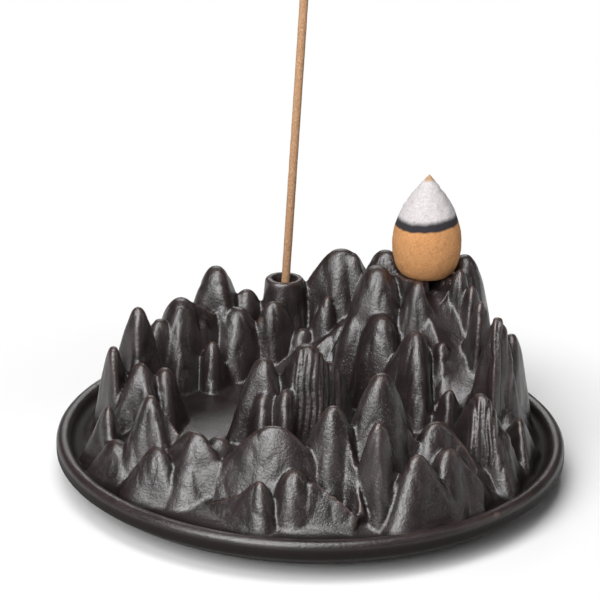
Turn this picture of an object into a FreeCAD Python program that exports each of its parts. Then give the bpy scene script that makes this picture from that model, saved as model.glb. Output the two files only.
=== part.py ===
"""Backflow incense burner: a glazed dish with a ring of mountains, an incense cone and a stick.

The burner is one casting. The ground inside the rim, the stream beds and every mountain are
solids that are fused to the turned dish; the cone's seat and the stick's cup are then cut in.
The origin is the centre of the foot ring on the table, +Z is up, and the front is at -Y.
"""
import FreeCAD, Part
import Sketcher
import math
import os
from collections import namedtuple

Vector = FreeCAD.Vector

# Sizes in mm and angles in degrees: name, value, meaning.
SIZES = (
    ("dish_radius", 60.0, "outermost radius of the dish"),
    ("rim_height", 10.0, "top of the rim above the table"),
    ("rim_roll", 1.7, "radius of the rolled rim"),
    ("band_height", 6.2, "lower end of the upright outer wall"),
    ("foot_radius", 45.5, "outer radius of the foot ring"),
    ("foot_width", 4.5, "width of the foot ring"),
    ("foot_recess", 1.6, "depth of the recess inside the foot ring"),
    ("floor_height", 7.5, "floor of the gutter inside the rim"),
    ("gutter_slope", 1.0, "how far the rim's inner side leans in"),
    ("root_depth", 1.5, "how deep every landscape solid is rooted below the floor"),

    ("bank_foot", 51.3, "mean outer radius of the ground inside the gutter"),
    ("bank_flare", 2.4, "how far the foot of the ground runs out"),
    ("bank_crest", 42.5, "radius of the ring of high ground"),
    ("pool_radius", 33.0, "radius of the pool inside the ring"),
    ("bank_rise", 6.0, "height of the high ground above the floor"),
    ("pool_rise", 3.5, "height of the pool's bed above the floor"),
    ("bank_wave", 1.1, "how far the edge of the ground winds in and out"),

    ("seat_x", 27.0, "centre of the cone's seat"),
    ("seat_y", 25.0, "centre of the cone's seat"),
    ("seat_rise", 32.7, "height of the seat above the floor"),
    ("seat_lip", 0.6, "depth of the recess that the cone stands in"),
    ("seat_margin", 1.3, "room round the cone's base in its recess"),
    ("seat_wall", 1.6, "width of the flat lip round the recess"),
    ("seat_spread", 13.0, "radius of the seat's mound at the floor"),
    ("vent_hole", 2.0, "radius of the hole under the cone"),
    ("vent_groove", 3.0, "width of the two grooves that lead out of the seat"),
    ("vent_depth", 2.6, "depth of the hole and of the grooves"),
    ("right_groove", -62.0, "direction of the groove to the right-hand stream"),
    ("left_groove", 156.0, "direction of the groove to the left-hand stream"),

    ("cup_x", -7.5, "centre of the stick's cup"),
    ("cup_y", 40.0, "centre of the stick's cup"),
    ("cup_rise", 25.0, "top of the cup above the floor"),
    ("cup_radius", 4.9, "outer radius of the cup's top"),
    ("cup_neck", 6.4, "radius below the cup's lip"),
    ("cup_foot", 9.0, "radius of the cup's body at the floor"),
    ("cup_mouth", 2.8, "radius of the mouth at the top"),
    ("cup_funnel", 3.2, "depth of the funnel below the mouth"),
    ("bore_radius", 1.4, "radius of the bore that holds the stick"),
    ("bore_depth", 12.0, "depth of the bore below the cup's top"),

    ("cone_height", 25.4, "height of the incense cone"),
    ("cone_base", 4.7, "radius of the cone's flat base"),
    ("cone_belly", 8.4, "largest radius of the cone"),
    ("cone_belly_height", 8.1, "height of the largest radius"),
    ("cone_bore", 1.5, "radius of the blind hole in the cone"),
    ("cone_bore_depth", 15.0, "depth of the blind hole in the cone"),

    ("stick_radius", 1.05, "radius of the incense stick"),
    ("stick_length", 140.0, "length of the incense stick"),
    ("stick_lean", 2.6, "lean of the stick to the right"),
    ("stick_lift", 0.1, "gap between the stick's lowest edge and the bore's floor"),
)

# A mountain: apex (x, y) and height above the floor, half widths of its foot along and across
# its long axis, how full its upper part is, direction of the long axis, offset of the apex from the foot's
# centre, number of ridges and how far they stand out as a share of the half width.
Peak = namedtuple("Peak", "name x y height wide deep fullness turn lean_x lean_y ridges relief")

FRONT_RANGE = (
    Peak("front_01", -46.1, -17.0, 14.2, 6.5, 5.5, 0.60, -70, 0.5, 0.5, 3, 0.20),
    Peak("front_02", -43.6, -24.0, 8.9, 8.5, 6.5, 0.72, -60, -0.5, 0.5, 3, 0.15),
    Peak("front_03", -33.7, -33.5, 11.8, 9.5, 7.0, 0.68, -40, 0.0, 0.5, 3, 0.15),
    Peak("front_04", -35.9, -24.0, 20.1, 11.5, 8.5, 0.56, -60, 0.0, 0.5, 4, 0.18),
    Peak("front_05", -25.2, -34.0, 16.1, 14.0, 8.0, 0.60, -36, 0.0, 0.5, 4, 0.18),
    Peak("front_06", -20.2, -30.0, 13.1, 7.0, 6.0, 0.90, -20, 0.0, 0.0, 3, 0.10),
    Peak("front_07", -10.5, -47.0, 10.6, 7.0, 5.0, 0.60, 165, 1.0, 0.0, 3, 0.15),
    Peak("front_08", -7.7, -39.0, 20.1, 21.0, 9.0, 0.54, -8, 0.0, 0.5, 4, 0.15),
    Peak("front_09", -3.0, -45.5, 12.7, 6.4, 5.0, 0.78, -90, 0.0, 0.5, 3, 0.12),
    Peak("front_10", 0.3, -46.5, 10.5, 8.0, 5.0, 0.60, 4, -0.5, 0.0, 3, 0.15),
    Peak("front_11", 5.0, -37.0, 24.3, 11.5, 9.0, 0.60, 0, 0.0, 0.5, 4, 0.18),
    Peak("front_12", 14.9, -42.0, 23.0, 7.0, 7.0, 0.64, -80, 0.0, 0.5, 4, 0.20),
    Peak("front_13", 15.3, -33.0, 30.6, 13.0, 11.0, 0.64, 28, 0.0, 0.5, 4, 0.14),
    Peak("front_14", 23.5, -43.0, 16.0, 10.5, 7.0, 0.52, 10, 0.0, 1.0, 3, 0.18),
    Peak("front_15", 30.5, -37.0, 14.8, 10.5, 7.5, 0.60, 33, -0.5, 0.5, 3, 0.18),
    Peak("front_16", 27.9, -32.0, 18.9, 13.0, 8.5, 0.64, 20, -0.5, 0.5, 3, 0.18),
    Peak("front_17", 38.4, -20.0, 20.8, 11.5, 9.0, 0.60, -55, 0.0, 0.5, 5, 0.18),
    Peak("front_18", 43.1, -22.0, 12.8, 8.0, 6.5, 0.60, -75, 0.0, 0.5, 3, 0.20),
    Peak("front_19", 48.3, -10.0, 10.5, 8.0, 4.8, 0.57, 85, -0.5, 0.0, 3, 0.12),
)

RIGHT_RANGE = (
    Peak("right_01", 43.0, 0.0, 31.6, 9.5, 9.0, 0.72, 90, 0.0, 0.0, 5, 0.14),
    Peak("right_02", 44.0, 2.0, 14.5, 15.0, 9.0, 0.66, 90, 0.0, 0.0, 5, 0.12),
    Peak("right_03", 47.2, 8.0, 24.4, 7.5, 5.8, 0.82, 90, 0.0, 0.0, 3, 0.10),
    Peak("right_04", 39.6, 10.0, 31.8, 8.0, 7.5, 0.72, -100, 0.0, 0.0, 4, 0.20),
    Peak("right_05", 37.9, 17.0, 33.0, 8.5, 7.5, 0.74, -100, 0.0, 0.0, 4, 0.20),
    Peak("right_06", 35.0, 20.0, 35.9, 7.5, 7.0, 0.80, -80, 0.0, 0.0, 4, 0.18),
    Peak("right_07", 36.7, 28.0, 37.0, 11.0, 10.0, 0.90, 120, 0.0, 0.0, 4, 0.12),
)

SUMMIT = (
    Peak("summit_01", 17.6, 35.0, 35.2, 12.0, 10.0, 0.90, 150, 0.0, 0.0, 4, 0.12),
    Peak("summit_02", 15.2, 22.0, 35.8, 14.0, 12.0, 0.85, 45, -1.0, 1.0, 5, 0.10),
    Peak("summit_03", 25.4, 17.0, 33.7, 7.5, 8.0, 0.90, 90, 0.0, 1.0, 4, 0.15),
    Peak("summit_04", 14.7, 14.5, 28.6, 8.0, 7.0, 0.85, -60, 0.0, 0.5, 4, 0.18),
    Peak("summit_05", 10.2, 18.0, 24.8, 7.5, 7.0, 0.90, 90, 0.0, 0.0, 3, 0.10),
    Peak("summit_06", 24.3, 6.0, 25.2, 9.5, 7.5, 0.90, -80, 1.0, 1.0, 3, 0.18),
    Peak("summit_07", 30.9, 8.0, 21.7, 4.2, 6.0, 0.90, 90, 0.0, 0.0, 3, 0.15),
    Peak("summit_08", 14.0, 12.0, 14.5, 6.5, 6.0, 0.90, 60, 0.0, 0.0, 3, 0.12),
    Peak("summit_09", 32.2, -4.0, 14.8, 4.2, 4.6, 0.90, 30, 0.0, 0.0, 3, 0.15),
    Peak("summit_10", 27.0, 39.5, 30.5, 11.0, 9.0, 0.90, 145, 0.0, 0.0, 4, 0.10),
    Peak("summit_11", 37.0, 37.0, 22.5, 10.0, 7.0, 0.88, 130, 0.0, 0.0, 4, 0.10),
    Peak("summit_12", 45.0, 20.0, 19.5, 10.0, 6.0, 0.88, 110, 0.0, 0.0, 4, 0.10),
)

BACK_RANGE = (
    Peak("back_01", 6.6, 41.0, 33.1, 15.0, 9.5, 0.81, 0, 0.0, 0.0, 5, 0.14),
    Peak("back_02", 9.4, 40.5, 32.3, 9.5, 8.0, 0.90, 0, 0.0, 0.0, 4, 0.14),
    Peak("back_03", 3.5, 33.0, 23.5, 5.0, 5.5, 0.90, 60, 2.5, 2.0, 3, 0.12),
    Peak("back_04", -2.5, 31.0, 15.5, 6.0, 5.0, 0.90, 0, 1.0, 1.0, 3, 0.12),
    Peak("back_05", -9.9, 31.5, 22.3, 7.0, 4.5, 0.85, 10, 0.0, 0.5, 4, 0.10),
    Peak("back_06", -19.6, 32.0, 21.0, 9.0, 7.5, 0.79, 30, -1.0, 1.0, 3, 0.15),
    Peak("back_07", -17.0, 38.0, 22.9, 8.5, 7.0, 0.90, 20, 0.0, 0.0, 4, 0.10),
    Peak("back_08", -24.5, 36.0, 29.6, 11.0, 9.5, 0.86, 30, 0.0, 0.0, 4, 0.10),
    Peak("back_09", -24.8, 24.0, 11.9, 6.8, 6.0, 0.62, -90, 0.0, 0.0, 3, 0.15),
)

LEFT_RANGE = (
    Peak("left_01", -32.7, 27.0, 24.2, 13.0, 9.5, 0.71, 50, 0.0, 0.0, 5, 0.10),
    Peak("left_02", -27.9, 25.0, 19.7, 7.5, 6.5, 0.90, 50, 0.0, 0.0, 3, 0.12),
    Peak("left_03", -37.6, 22.0, 20.5, 9.0, 7.5, 0.78, 60, 0.0, 0.0, 4, 0.10),
    Peak("left_04", -41.2, 5.0, 30.1, 8.5, 8.0, 0.76, -85, 0.0, 0.0, 4, 0.22),
    Peak("left_05", -42.5, 3.0, 14.5, 14.0, 9.0, 0.68, 90, 0.0, 0.0, 5, 0.12),
    Peak("left_06", -46.4, -2.0, 22.8, 8.0, 6.0, 0.53, 90, 0.0, 0.0, 3, 0.12),
    Peak("left_07", -39.7, -5.0, 20.0, 9.0, 8.0, 0.67, 80, 0.0, 1.0, 4, 0.14),
    Peak("left_08", -34.4, -3.0, 18.1, 7.0, 6.5, 0.80, 80, 0.0, 0.0, 3, 0.14),
)

ISLAND = (
    Peak("island_01", -1.2, -8.0, 26.9, 10.5, 10.0, 0.90, 0, 0.0, 0.0, 6, 0.08),
    Peak("island_02", -11.0, -8.0, 23.2, 8.5, 8.0, 0.90, 60, 1.0, 0.0, 4, 0.12),
    Peak("island_03", -5.8, -13.5, 17.8, 6.0, 5.5, 0.90, 90, 0.0, 0.5, 3, 0.10),
    Peak("island_04", -10.8, -12.5, 16.2, 5.5, 5.5, 0.90, 90, 0.0, 1.0, 3, 0.12),
    Peak("island_05", 4.0, -6.0, 21.9, 7.5, 7.0, 0.90, 30, 0.0, 0.0, 4, 0.10),
)

RANGES = {
    "front_range": FRONT_RANGE,
    "right_range": RIGHT_RANGE,
    "summit": SUMMIT,
    "back_range": BACK_RANGE,
    "left_range": LEFT_RANGE,
    "island": ISLAND,
}

# A place on a stream bed: centre (x, y), height above the floor, half width of the bed.
Station = namedtuple("Station", "x y height half_width")

STREAMS = {
    "right_stream": (
        Station(28.5, 18.0, 29.0, 3.0),
        Station(31.0, 13.5, 22.0, 4.0),
        Station(34.0, 9.0, 16.0, 4.5),
        Station(36.0, 4.0, 11.0, 5.0),
        Station(33.5, -2.0, 7.0, 6.0),
        Station(26.0, -8.0, 3.0, 7.0),
    ),
    "left_stream": (
        Station(16.0, 29.5, 27.0, 3.0),
        Station(11.0, 32.0, 20.0, 4.0),
        Station(4.0, 33.0, 15.5, 5.0),
        Station(-4.0, 30.0, 11.0, 5.5),
        Station(-11.0, 25.0, 7.0, 6.0),
        Station(-17.0, 18.0, 3.0, 7.0),
    ),
}

# A place on a spur's crest: centre (x, y) and height above the floor.
Crest = namedtuple("Crest", "x y height")

SPURS = {
    "spur_01": (Crest(-42.8, -24.0, 8.7), Crest(-40.4, -26.0, 7.4), Crest(-37.4, -29.5, 4.9),
                Crest(-34.6, -33.5, 2.2)),
    "spur_02": (Crest(-33.5, -33.5, 11.6), Crest(-31.5, -34.0, 9.7), Crest(-29.0, -35.0, 6.8),
                Crest(-25.8, -36.5, 4.7)),
    "spur_03": (Crest(-36.0, -24.0, 19.9), Crest(-33.7, -25.0, 18.0), Crest(-31.4, -26.0, 15.0),
                Crest(-29.0, -27.5, 11.9)),
    "spur_04": (Crest(-24.8, -34.0, 15.7), Crest(-22.4, -34.5, 14.0), Crest(-19.7, -35.0, 11.4),
                Crest(-17.0, -36.0, 9.5)),
    "spur_05": (Crest(-7.6, -39.0, 19.8), Crest(-11.9, -38.6, 15.7), Crest(-16.3, -37.6, 10.3),
                Crest(-22.5, -35.5, 5.0), Crest(-26.8, -34.0, 2.2)),
    "spur_06": (Crest(-7.1, -39.2, 19.9), Crest(-2.7, -40.0, 14.9), Crest(0.6, -41.0, 13.1),
                Crest(3.9, -42.0, 10.8)),
    "spur_07": (Crest(-10.0, -47.0, 10.4), Crest(-13.0, -46.3, 8.8), Crest(-16.7, -45.0, 5.9),
                Crest(-21.4, -43.0, 3.3), Crest(-25.9, -40.5, 1.5)),
    "spur_08": (Crest(-0.1, -46.5, 10.4), Crest(2.5, -47.0, 9.8), Crest(6.2, -48.0, 7.5),
                Crest(10.8, -49.5, 3.8)),
    "spur_09": (Crest(5.4, -37.0, 23.8), Crest(7.4, -38.5, 21.2), Crest(9.0, -41.0, 16.4),
                Crest(10.5, -44.5, 10.2), Crest(11.6, -48.5, 5.0)),
    "spur_10": (Crest(15.6, -33.0, 30.2), Crest(18.9, -33.5, 25.2), Crest(21.2, -34.0, 19.3),
                Crest(24.0, -35.0, 15.0), Crest(26.5, -36.0, 11.9)),
    "spur_11": (Crest(23.5, -43.0, 15.3), Crest(21.4, -43.5, 13.6), Crest(19.1, -45.0, 10.2),
                Crest(17.2, -47.5, 5.9)),
    "spur_12": (Crest(24.4, -42.4, 14.6), Crest(26.0, -43.1, 13.0), Crest(28.7, -43.4, 8.8),
                Crest(31.4, -43.3, 4.0)),
    "spur_13": (Crest(30.3, -37.0, 14.2), Crest(33.4, -37.0, 12.5), Crest(36.2, -36.8, 9.5),
                Crest(38.5, -36.3, 6.5)),
    "spur_14": (Crest(27.9, -32.0, 18.6), Crest(30.8, -32.5, 17.2), Crest(34.2, -33.0, 14.1),
                Crest(37.3, -34.0, 9.1)),
    "spur_15": (Crest(-32.9, 27.5, 23.3), Crest(-29.4, 28.2, 22.9), Crest(-26.6, 29.0, 21.4),
                Crest(-23.9, 30.0, 18.6)),
    "spur_16": (Crest(5.5, 41.0, 32.8), Crest(1.3, 41.0, 29.3), Crest(-1.6, 41.0, 25.1),
                Crest(-3.6, 40.0, 21.7)),
}

# Shares of a mountain's height at which its ring of facets has corners.
LEVELS = (0.0, 0.30, 0.62, 0.88)
FACETS_PER_RIDGE = {3: 3, 4: 3, 5: 2, 6: 2}
FOOT_FLARE = 1.2
STREAM_BANK = 1.6
STREAM_SAG = 0.8
SPUR_FOOT = 1.6
SPUR_SLOPE = 0.50
GROUND_FACETS = 44
BELLY_SHARES = (0, 0.4, 0.75, 1)
ROLL_BANDS = 5
CONE_BANDS = 5
SEAT_FACETS = 16
CUP_FACETS = 12


class Size:
    """A length or angle of the sheet: its value, and the expression that gives it."""

    def __init__(self, value, text):
        self.value = value
        self.text = text

    def __add__(self, other):
        other = as_size(other)
        return Size(self.value + other.value, "(%s + %s)" % (self.text, other.text))

    def __sub__(self, other):
        other = as_size(other)
        return Size(self.value - other.value, "(%s - %s)" % (self.text, other.text))

    def __rmul__(self, factor):
        return Size(factor * self.value, "(%s * %s)" % (factor, self.text))

    def __float__(self):
        return float(self.value)


def as_size(number):
    """Plain numbers count as sizes too."""
    return number if isinstance(number, Size) else Size(number, str(number))


def fill_sheet(doc):
    """Write every driving dimension into the sheet and return a reader of its cells."""
    sheet = doc.addObject("Spreadsheet::Sheet", "Sizes")
    sheet.Label = "Sizes"
    rows = [(alias, value, meaning) for alias, value, meaning in SIZES]
    for name, range_peaks in RANGES.items():
        for peak in range_peaks:
            for field in Peak._fields[1:]:
                rows.append((peak.name + "_" + field, getattr(peak, field), field + " in the " + name))
    for name, stations in STREAMS.items():
        for number, station in enumerate(stations, 1):
            for field in Station._fields:
                rows.append(("%s_%d_%s" % (name, number, field), getattr(station, field), field))
    for name, crests in SPURS.items():
        for number, crest in enumerate(crests, 1):
            for field in Crest._fields:
                rows.append(("%s_%d_%s" % (name, number, field), getattr(crest, field), field))
    for row, (alias, value, meaning) in enumerate(rows, 1):
        sheet.set("A%d" % row, meaning)
        sheet.set("B%d" % row, str(value))
        sheet.setAlias("B%d" % row, alias)
    doc.recompute()

    def read(alias):
        return Size(float(sheet.get(alias)), "Sizes." + alias)

    return read


def bind(part, prop, size):
    """Tie a property to the sheet."""
    part.setExpression(prop, as_size(size).text)


def bind_place(part, x, y, z):
    """Tie the place of an object to the sheet."""
    bind(part, "Placement.Base.x", x)
    bind(part, "Placement.Base.y", y)
    bind(part, "Placement.Base.z", z)


def turned_body(doc, name, corners):
    """A turned solid from the corners (radius, height) of its half section."""
    body = doc.addObject("PartDesign::Body", name)
    sketch = body.newObject("Sketcher::SketchObject", name + "_profile")
    plane = [item for item in body.Origin.OriginFeatures if item.Role == "XZ_Plane"][0]
    sketch.AttachmentSupport = [(plane, "")]
    sketch.MapMode = "FlatFace"
    corners = [(as_size(radius), as_size(height)) for radius, height in corners]
    points = [Vector(radius.value, height.value, 0) for radius, height in corners]
    for start, end in zip(points, points[1:] + points[:1]):
        sketch.addGeometry(Part.LineSegment(start, end))
    for side, (radius, height) in enumerate(corners):
        following = (side + 1) % len(corners)
        sketch.addConstraint(Sketcher.Constraint("Coincident", side, 2, following, 1))
        for kind, axis, size in (("DistanceX", -2, radius), ("DistanceY", -1, height)):
            if size.value == 0:
                sketch.addConstraint(Sketcher.Constraint("PointOnObject", side, 1, axis))
            else:
                fixed = Sketcher.Constraint(kind, -1, 1, side, 1, size.value)
                sketch.setExpression("Constraints[%d]" % sketch.addConstraint(fixed), size.text)
    turning = body.newObject("PartDesign::Revolution", name + "_turning")
    turning.Profile = sketch
    turning.ReferenceAxis = (sketch, ["V_Axis"])
    turning.Angle = 360
    return body


def make_dish(doc, size):
    """The turned dish: foot ring, belly, upright wall, rolled rim and the gutter's floor."""
    wall_top = size("rim_height") - size("rim_roll")
    roll_centre = size("dish_radius") - size("rim_roll")
    foot_inner = size("foot_radius") - size("foot_width")
    belly_width = size("dish_radius") - size("foot_radius")
    corners = [(0, size("foot_recess")), (foot_inner, size("foot_recess")), (foot_inner, 0)]
    for share in BELLY_SHARES:
        out = size("foot_radius") + share * belly_width
        corners.append((out, share ** 2 * size("band_height") if share else 0))
    for step in range(ROLL_BANDS + 1):
        angle = math.pi * step / ROLL_BANDS
        out = roll_centre + math.cos(angle) * size("rim_roll")
        corners.append((out, wall_top + math.sin(angle) * size("rim_roll")))
    inner_foot = roll_centre - size("rim_roll") - size("gutter_slope")
    corners += [(inner_foot, size("floor_height")), (0, size("floor_height"))]
    return turned_body(doc, "dish", corners)


def triangle(first, second, third):
    """A flat three-cornered face."""
    return Part.Face(Part.makePolygon([first, second, third, first]))


def skin(rings, tip=None):
    """A closed solid of facets through rings with equal numbers of corners, lowest first."""
    count = len(rings[0])
    faces = []
    for lower, upper in zip(rings, rings[1:]):
        for corner in range(count):
            following = (corner + 1) % count
            faces.append(triangle(lower[corner], lower[following], upper[corner]))
            faces.append(triangle(lower[following], upper[following], upper[corner]))
    if tip is None:
        faces.append(Part.Face(Part.makePolygon(rings[-1] + rings[-1][:1])))
    else:
        for corner in range(count):
            faces.append(triangle(rings[-1][corner], rings[-1][(corner + 1) % count], tip))
    faces.append(Part.Face(Part.makePolygon(rings[0][::-1] + rings[0][-1:])))
    return Part.Solid(Part.makeShell(faces))


def spread(share, fullness):
    """Half width of a mountain at a share of its height, as a share of its foot."""
    left = 1 - share
    return math.sqrt(left) * (fullness + (1 - fullness) * left ** FOOT_FLARE)


def peak_solid(peak, floor, root):
    """One mountain: facets on rings that narrow to the apex and stand out along its ridges."""
    count = peak.ridges * FACETS_PER_RIDGE[peak.ridges]
    turn = math.radians(peak.turn)
    foot = Vector(peak.x - peak.lean_x, peak.y - peak.lean_y, floor)
    rings = []
    for share in LEVELS:
        ring = []
        for corner in range(count):
            angle = 2 * math.pi * corner / count
            ridge = 1 - 2 * abs(math.sin(peak.ridges * angle / 2))
            reach = spread(share, peak.fullness) * (1 + peak.relief * (1 - share ** 2) * ridge)
            along = peak.wide * reach * math.cos(angle)
            across = peak.deep * reach * math.sin(angle)
            ring.append(
                Vector(
                    foot.x + peak.lean_x * share + along * math.cos(turn) - across * math.sin(turn),
                    foot.y + peak.lean_y * share + along * math.sin(turn) + across * math.cos(turn),
                    floor + peak.height * share,
                )
            )
        rings.append(ring)
    rings.insert(0, [corner - Vector(0, 0, root) for corner in rings[0]])
    return skin(rings, Vector(peak.x, peak.y, floor + peak.height))


def code_shape(doc, name, shape):
    """A document object for a solid that is made of facets."""
    feature = doc.addObject("Part::Feature", name)
    feature.Shape = shape
    return feature


def make_ranges(doc, size):
    """Every mountain as an object of its own, listed by range."""
    floor = float(size("floor_height"))
    root = float(size("root_depth"))
    ranges = []
    for range_peaks in RANGES.values():
        members = []
        for drawn in range_peaks:
            values = [float(size(drawn.name + "_" + field)) for field in Peak._fields[1:]]
            peak = Peak(drawn.name, *values)._replace(ridges=int(round(values[-2])))
            members.append(code_shape(doc, peak.name, peak_solid(peak, floor, root)))
        ranges.append(members)
    return ranges


def make_ground(doc, size):
    """The ground inside the gutter: a winding bank, a ring of high ground and the pool's bed."""
    floor = float(size("floor_height"))
    root = float(size("root_depth"))
    wave = float(size("bank_wave"))
    foot, crest, pool = (float(size(name)) for name in ("bank_foot", "bank_crest", "pool_radius"))
    toe = foot + float(size("bank_flare"))
    rise, bed = (float(size(name)) for name in ("bank_rise", "pool_rise"))
    outline = (
        (toe, -root, 1.0),
        (toe, 0.0, 1.0),
        (foot, 0.14 * rise, 1.0),
        ((foot + crest) / 2, 0.64 * rise, 0.6),
        (crest, rise, 0.3),
        ((crest + pool) / 2, (rise + bed) / 2, 0.6),
        (pool, bed, 1.0),
    )
    rings = []
    for radius, height, share in outline:
        ring = []
        for corner in range(GROUND_FACETS):
            angle = 2 * math.pi * corner / GROUND_FACETS
            winding = wave * share * (math.sin(7 * angle) + 0.5 * math.sin(12 * angle + 1))
            reach = radius + winding
            ring.append(Vector(reach * math.cos(angle), reach * math.sin(angle), floor + height))
        rings.append(ring)
    return code_shape(doc, "ground", skin(rings, Vector(0, 0, floor + bed)))


def bed_section(place, root):
    """A stream bed's cross section, (out, height): toes, edges and the sagging middle."""
    bank = (place.height + root) / STREAM_BANK
    edge = place.half_width
    return (
        (edge + bank, -root), (-edge - bank, -root), (-edge, place.height),
        (0.0, place.height - STREAM_SAG), (edge, place.height),
    )


def spur_section(place, root):
    """A spur's cross section, (out, height): toes, hollow flanks and the crest."""
    toe = SPUR_FOOT + SPUR_SLOPE * place.height
    flank = 0.45 * place.height
    return ((toe, -root), (-toe, -root), (-0.4 * toe, flank), (0.0, place.height), (0.4 * toe, flank))


def swept(places, section, floor, root):
    """A solid that runs through its places with the same kind of cross section all along."""
    rings = []
    for number, place in enumerate(places):
        before = places[max(number - 1, 0)]
        after = places[min(number + 1, len(places) - 1)]
        course = Vector(after.x - before.x, after.y - before.y, 0).normalize()
        left = Vector(-course.y, course.x, 0)
        centre = Vector(place.x, place.y, floor)
        rings.append([centre + left * out + Vector(0, 0, height) for out, height in section(place, root)])
    return skin(rings)


def make_runs(doc, size, drawn_runs, kind, section):
    """Every stream bed or spur as an object of its own, from its places in the sheet."""
    floor = float(size("floor_height"))
    root = float(size("root_depth"))
    runs = []
    for name, drawn in drawn_runs.items():
        places = []
        for number in range(1, len(drawn) + 1):
            values = [float(size("%s_%d_%s" % (name, number, field))) for field in kind._fields]
            places.append(kind(*values))
        runs.append(code_shape(doc, name, swept(places, section, floor, root)))
    return runs


def flat_mound(centre, radii, heights, facets):
    """A round mound of facets with a flat top."""
    rings = []
    for radius, height in zip(radii, heights):
        ring = []
        for corner in range(facets):
            angle = 2 * math.pi * corner / facets
            ring.append(centre + Vector(radius * math.cos(angle), radius * math.sin(angle), height))
        rings.append(ring)
    return skin(rings)


def make_seat(doc, size):
    """The mound that carries the cone: its top stands one lip above the seat."""
    centre = Vector(float(size("seat_x")), float(size("seat_y")), float(size("floor_height")))
    top = float(size("seat_rise") + size("seat_lip"))
    rim = float(size("cone_base") + size("seat_margin") + size("seat_wall"))
    spread_radius = float(size("seat_spread"))
    root = float(size("root_depth"))
    radii = (spread_radius, spread_radius, (spread_radius + rim) / 2, rim)
    heights = (-root, 0.0, 0.45 * top, top)
    return code_shape(doc, "seat_mound", flat_mound(centre, radii, heights, SEAT_FACETS))


def make_cup(doc, size):
    """The stick's cup: a lip on a neck that widens to its foot."""
    centre = Vector(float(size("cup_x")), float(size("cup_y")), float(size("floor_height")))
    top = float(size("cup_rise"))
    radii = [float(size(name)) for name in ("cup_foot", "cup_foot", "cup_neck", "cup_radius")]
    heights = (-float(size("root_depth")), 0.0, 0.62 * top, top)
    return code_shape(doc, "stick_cup", flat_mound(centre, radii, heights, CUP_FACETS))


def make_seat_cuts(doc, size):
    """The recess under the cone, the vent hole and the two grooves that lead out of it."""
    seat_level = size("floor_height") + size("seat_rise")
    recess = doc.addObject("Part::Cone", "seat_recess")
    bind(recess, "Radius1", size("cone_base") + size("seat_margin"))
    bind(recess, "Radius2", size("cone_belly") + size("seat_margin"))
    bind(recess, "Height", size("cone_belly_height"))
    bind_place(recess, size("seat_x"), size("seat_y"), seat_level)
    hole = doc.addObject("Part::Cylinder", "vent_hole_cut")
    bind(hole, "Radius", size("vent_hole"))
    bind(hole, "Height", 2 * size("vent_depth"))
    bind_place(hole, size("seat_x"), size("seat_y"), seat_level - size("vent_depth"))
    cuts = [recess, hole]
    for name in ("right_groove", "left_groove"):
        groove = doc.addObject("Part::Box", name + "_cut")
        reach = size("cone_base") + size("seat_margin") + 2 * size("seat_wall")
        bind(groove, "Length", reach)
        bind(groove, "Width", size("vent_groove"))
        bind(groove, "Height", size("vent_depth") + size("seat_lip") + size("seat_wall"))
        direction = size(name)
        half = 0.5 * size("vent_groove")
        bind(groove, "Placement.Rotation.Angle", direction)
        bind(groove, "Placement.Base.x", Size(0, "%s + %s * sin(%s * 1deg)" % (
            size("seat_x").text, half.text, direction.text)))
        bind(groove, "Placement.Base.y", Size(0, "%s - %s * cos(%s * 1deg)" % (
            size("seat_y").text, half.text, direction.text)))
        bind(groove, "Placement.Base.z", seat_level - size("vent_depth"))
        cuts.append(groove)
    return cuts


def make_cup_cuts(doc, size):
    """The funnel of the cup and the bore below it."""
    top = size("floor_height") + size("cup_rise")
    funnel = doc.addObject("Part::Cone", "cup_funnel_cut")
    bind(funnel, "Radius1", size("bore_radius"))
    bind(funnel, "Radius2", size("cup_mouth"))
    bind(funnel, "Height", size("cup_funnel"))
    bind_place(funnel, size("cup_x"), size("cup_y"), top - size("cup_funnel"))
    bore = doc.addObject("Part::Cylinder", "cup_bore_cut")
    bind(bore, "Radius", size("bore_radius"))
    bind(bore, "Height", size("bore_depth"))
    bind_place(bore, size("cup_x"), size("cup_y"), top - size("bore_depth"))
    return [funnel, bore]


def make_burner(doc, size):
    """The whole casting: the landscape is joined to the dish range by range, then it is cut."""
    dish = make_dish(doc, size)
    ground = [make_ground(doc, size), make_seat(doc, size), make_cup(doc, size)]
    ground += make_runs(doc, size, STREAMS, Station, bed_section)
    spurs = make_runs(doc, size, SPURS, Crest, spur_section)
    groups = [[solid] for solid in ground] + make_ranges(doc, size) + [spurs]
    doc.recompute()
    shape = dish.Shape
    for group in groups:
        first, others = group[0].Shape, [solid.Shape for solid in group[1:]]
        shape = shape.fuse(first.multiFuse(others) if others else first)
    if len(shape.Solids) != 1:
        raise RuntimeError("the landscape and the dish aren't one piece")
    casting = code_shape(doc, "casting", Part.Solid(shape.Solids[0].OuterShell))
    cuts = doc.addObject("Part::MultiFuse", "casting_cuts")
    cuts.Shapes = make_seat_cuts(doc, size) + make_cup_cuts(doc, size)
    burner = doc.addObject("Part::Cut", "burner")
    burner.Base = casting
    burner.Tool = cuts
    burner.Refine = False
    return burner


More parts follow.
